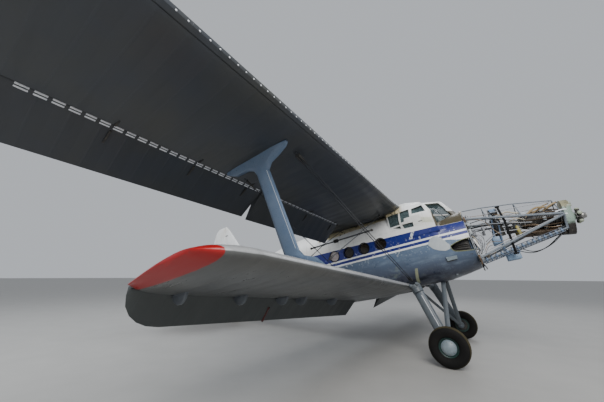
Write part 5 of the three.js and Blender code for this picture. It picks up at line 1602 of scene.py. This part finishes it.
def alongAxis(piece, along, across=0.0, above=0.0):
    return aimed(piece, onAxis(along, across, above), onAxis(along + 1, across, above))


def addEngineBody():
    e = engineBody
    fin = turnedBody([(0.198, -0.006), (0.228, -0.004), (0.231, 0.0), (0.228, 0.004), (0.198, 0.006),
                      (0.198, -0.006)], 48, True)
    *others, last = [e["firstFin"] + e["finPitch"] * k for k in range(e["fins"])]
    fins = [alongAxis(twin(fin), place) for place in others] + [alongAxis(fin, last)]
    settle(joined(fins), "engine_fins", "dark_metal")
    rods, caps = [], []
    for k in range(e["rods"]):
        a = math.radians(20 + 360 / e["rods"] * k)
        y, z = math.cos(a), math.sin(a)
        rods.append(tube([onAxis(-0.86, y * 0.16, z * 0.16), onAxis(-0.62, y * 0.215, z * 0.215),
                          onAxis(-0.30, y * 0.25, z * 0.25), onAxis(-0.10, y * 0.20, z * 0.20)], 0.015, 8))
        drum = turnedBody([(0.030, 0.0), (0.042, 0.004), (0.042, 0.040), (0.036, 0.046), (0.020, 0.050),
                           (0.005, 0.052)], 20)
        caps.append(aimed(drum, onAxis(-0.42, y * 0.19, z * 0.19), onAxis(-0.42, y, z)))
    settle(joined(rods), "engine_rods", "darkBrownMetal")
    settle(joined(caps), "engine_caps", "plateGrey", smooth=30)
    band = turnedBody([(0.150, -0.014), (0.176, -0.012), (0.182, 0.0), (0.176, 0.012), (0.150, 0.014)], 40)
    settle(joined([alongAxis(twin(band), -0.80), alongAxis(band, -0.12)]), "engine_rings", "steel")


def addLowerDuct():  # the dark flattened duct under the engine
    rows = [(0.060, 0.0), (0.130, 0.010), (0.155, 0.040), (0.155, 0.200), (0.168, 0.206), (0.168, 0.226),
            (0.155, 0.232), (0.155, 0.450), (0.168, 0.456), (0.168, 0.476), (0.155, 0.482), (0.150, 0.680),
            (0.100, 0.710), (0.040, 0.715)]
    duct = aimed(turnedBody(rows, 40), (1.05, 0, -0.20), (1.76, 0, -0.29))
    duct.matrix_world = duct.matrix_world @ Matrix.Diagonal((0.5, 1, 1, 1))
    settle(duct, "engine_lower_duct", "darkBrownMetal")


def addGearboxDetails():
    bolt = [(0.011, -0.004), (0.011, 0.010), (0.004, 0.012)]
    bolts, studs = [], []
    count = engineBody["gearboxBolts"]
    for a in [2 * math.pi * k / count for k in range(count)]:
        y, z = math.cos(a), math.sin(a)
        spot, normal = touch("gearbox", onAxis(0.6, y * 0.252, z * 0.385), onAxis(-1) - onAxis(0))
        bolts.append(stood(turnedBody(bolt, 6), spot, onAxis(1) - onAxis(0)))
    settle(joined(bolts), "gearbox_bolts", "steel", smooth=30)
    lip = turnedBody([(0.268, -0.008), (0.276, -0.006), (0.276, 0.006), (0.268, 0.008), (0.260, 0.0),
                      (0.268, -0.008)], 56, True)
    lip = alongAxis(lip, 0.0)
    lip.matrix_world = lip.matrix_world @ Matrix.Diagonal((1.46, 1.0, 1.0, 1.0))
    settle(lip, "gearbox_joint_line", "dark_metal")
    crown = []
    for y, z, r, h in ((-0.10, 0.33, 0.050, 0.10), (0.06, 0.35, 0.040, 0.085), (-0.20, 0.25, 0.035, 0.08),
                       (0.18, 0.27, 0.035, 0.08)):
        pot = turnedBody([(r, 0.0), (r, h * 0.5), (r * 1.15, h * 0.55), (r * 1.15, h * 0.72),
                          (r * 0.7, h * 0.82), (r * 0.5, h), (r * 0.1, h * 1.03)], 20)
        crown.append(alongAxis(pot, 0.020, y, z * 0.92))
    crown.append(tube([onAxis(0.06, -0.20, 0.24), onAxis(0.085, -0.10, 0.30), onAxis(0.085, 0.04, 0.31),
                       onAxis(0.06, 0.16, 0.26)], 0.014, 8))
    settle(joined(crown), "gearbox_crown", "paleGreen", smooth=30)
    for side in (-1, 1):
        studs.append(tube([onAxis(-0.02, side * 0.262, 0.14), onAxis(-0.10, side * 0.282, 0.16),
                           onAxis(-0.22, side * 0.27, 0.10)], 0.016, 10))
        studs.append(tube([onAxis(-0.02, side * 0.268, 0.04), onAxis(-0.10, side * 0.292, 0.05),
                           onAxis(-0.26, side * 0.27, 0.00)], 0.014, 10))
    settle(joined(studs), "gearbox_studs", "brightAluminium")
    sump = turnedBody([(0.060, 0.0), (0.074, 0.010), (0.074, 0.090), (0.060, 0.100), (0.030, 0.110),
                       (0.028, 0.140), (0.008, 0.142)], 28)
    settle(alongAxis(sump, -0.17, 0.0, -0.33), "gearbox_sump", "dark_metal", smooth=30)


def addPropellerHub():
    barrelRows = [(0.040, 0.001), (0.058, 0.002), (0.084, 0.016), (0.084, 0.030), (0.078, 0.034),
                  (0.078, 0.096), (0.084, 0.100), (0.084, 0.134), (0.076, 0.140), (0.060, 0.176),
                  (0.058, 0.190), (0.044, 0.194), (0.030, 0.1945), (0.008, 0.1945)]
    barrel = settle(alongAxis(turnedBody(barrelRows, 40), 0.140), "hub_barrel", "steel", "propeller_hub", 30)
    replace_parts(barrel, "propeller_hub")
    sleeveRows = [(0.030, 0.030), (0.044, 0.060), (0.045, 0.110), (0.036, 0.114), (0.036, 0.126),
                  (0.045, 0.130), (0.045, 0.146), (0.040, 0.150), (0.030, 0.1505)]
    ballRows = [(0.030, 0.144), (0.0415, 0.150), (0.0440, 0.160), (0.0415, 0.171), (0.034, 0.180),
                (0.020, 0.187), (0.005, 0.189)]
    sleeves, balls, bolts = [], [], []
    count = engineBody["sockets"]
    for a in [math.pi / 2 + 2 * math.pi * k / count for k in range(count)]:
        start, end = onAxis(0.205), onAxis(0.205, math.cos(a), math.sin(a))
        sleeves.append(aimed(turnedBody(sleeveRows, 28), start, end))
        balls.append(aimed(turnedBody(ballRows, 28), start, end))
        b = a + math.pi / count
        bolt = turnedBody([(0.012, 0.0), (0.012, 0.016), (0.008, 0.020), (0.003, 0.021)], 6)
        bolts.append(alongAxis(bolt, 0.250, math.cos(b) * 0.066, math.sin(b) * 0.066))
    settle(joined(sleeves), "hub_sockets", "dark_metal", "propeller_hub", 30)
    settle(joined(balls), "hub_socket_caps", "paleGreen", "propeller_hub", 40)
    settle(joined(bolts), "hub_bolts", "steel", "propeller_hub", 30)


addMountPipes()
addMountStrap()
addTruss()
addBoxes()
addAccessories()
addBottles()
addEngineBody()
addLowerDuct()
addGearboxDetails()
addPropellerHub()
print("engine bay filled")


# Tail fittings

rudderTab = {"front": -10.200, "back": -10.345, "foot": 0.95, "head": 1.75, "rod": 1.35}
finBrackets = (0.95, 1.90, 2.75)
elevatorBrackets = (0.60, 1.60, 2.60, 3.20)
tailStrutHeads = ((-8.600, 1.750), (-9.120, 1.700))


def addTailFittings():
    t = rudderTab
    outline = [(t["front"], t["foot"]), (t["back"], t["foot"] + 0.02), (t["back"], t["head"] - 0.02),
               (t["front"], t["head"])]
    sheets = [hugged(outline, "rudder", side, 0.004, 5, 0.002) for side in (-1, 1)]
    settle(joined(sheets), "rudder_tab_skins", "plateGrey", "rudder", 30)
    spot, aft = (touch("rudder", (x, -beside, t["rod"]), (0, 1, 0))[0] for x in (-9.98, -10.22))
    rod = tube([spot + Vector((0, -0.012, 0)), aft + Vector((0, -0.026, 0))], 0.005, 8, False)
    horn = box(aft + Vector((-0.014, -0.036, -0.006)), aft + Vector((0.014, 0.002, 0.006)), 0.002)
    fairing = box(spot + Vector((-0.06, -0.020, -0.014)), spot + Vector((0.06, 0.004, 0.014)), 0.008)
    settle(joined([rod, horn, fairing]), "rudder_tab_rod", "steel", "rudder")
    straps = []
    for z in finBrackets:
        strap = [(-9.352, z - 0.024), (-9.200, z - 0.012), (-9.200, z + 0.012), (-9.352, z + 0.024)]
        straps += [hugged(strap, "fin", side, 0.005, 4, 0.002) for side in (-1, 1)]
    settle(joined(straps), "rudder_brackets", "dark_metal", smooth=30)
    lugs = []
    for y in elevatorBrackets:
        for below in (1, -1):
            spot, normal = touch("tailplane_right", (-9.13, -y, 0.47 - below * 0.8), (0, 0, below))
            lugs.append(box(spot + Vector((-0.085, -0.014, -0.006)), spot + Vector((0.070, 0.014, 0.006)),
                            0.003))
    bothSides(joined(lugs), "elevator_brackets", "dark_metal")
    ends = []
    for x, y in tailStrutHeads:
        foot = Vector((-8.850 + (x + 8.850) * 0.25, -0.250, -0.260))
        head = Vector((x, -y, 0.380))
        along = (head - foot).normalized()
        for start, way in ((foot + along * 0.08, along), (head - along * 0.06, -along)):
            sleeve = turnedBody([(0.020, -0.03), (0.038, -0.026), (0.038, 0.05), (0.030, 0.06), (0.022, 0.062)],
                                16)
            ends.append(aimed(sleeve, start, start + way))
    bothSides(joined(ends), "tail_strut_ends", "dark_metal", smooth=30)


def addTailGearFittings():
    low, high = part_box("tail_tyre")
    place = toWorld.inverted() @ ((low + high) / 2)
    place.y = 0
    nutRows = [(0.030, -0.004), (0.030, 0.003), (0.021, 0.004), (0.021, 0.018), (0.012, 0.021), (0.003, 0.022)]
    nuts = []
    for side in (-1, 1):
        spot, normal = touch("tail_fork", place + Vector((0, side * 0.5, 0)), (0, -side, 0))
        nuts.append(aimed(turnedBody(nutRows, 6), spot, spot + Vector((0, side, 0))))
    settle(joined(nuts), "tail_axle_nuts", "steel", "tail_swivel", 30)
    boot = turnedBody([(0.068, -0.006), (0.078, -0.004), (0.070, 0.012), (0.080, 0.020), (0.071, 0.032),
                       (0.081, 0.040), (0.068, 0.052)], 28)
    spot = Vector((place.x + 0.150, 0, -0.385))
    settle(aimed(boot, spot, spot + Vector((0, 0, 1))), "tail_leg_boot", "blackHose")


addTailFittings()
addTailGearFittings()
print("tail fitted")
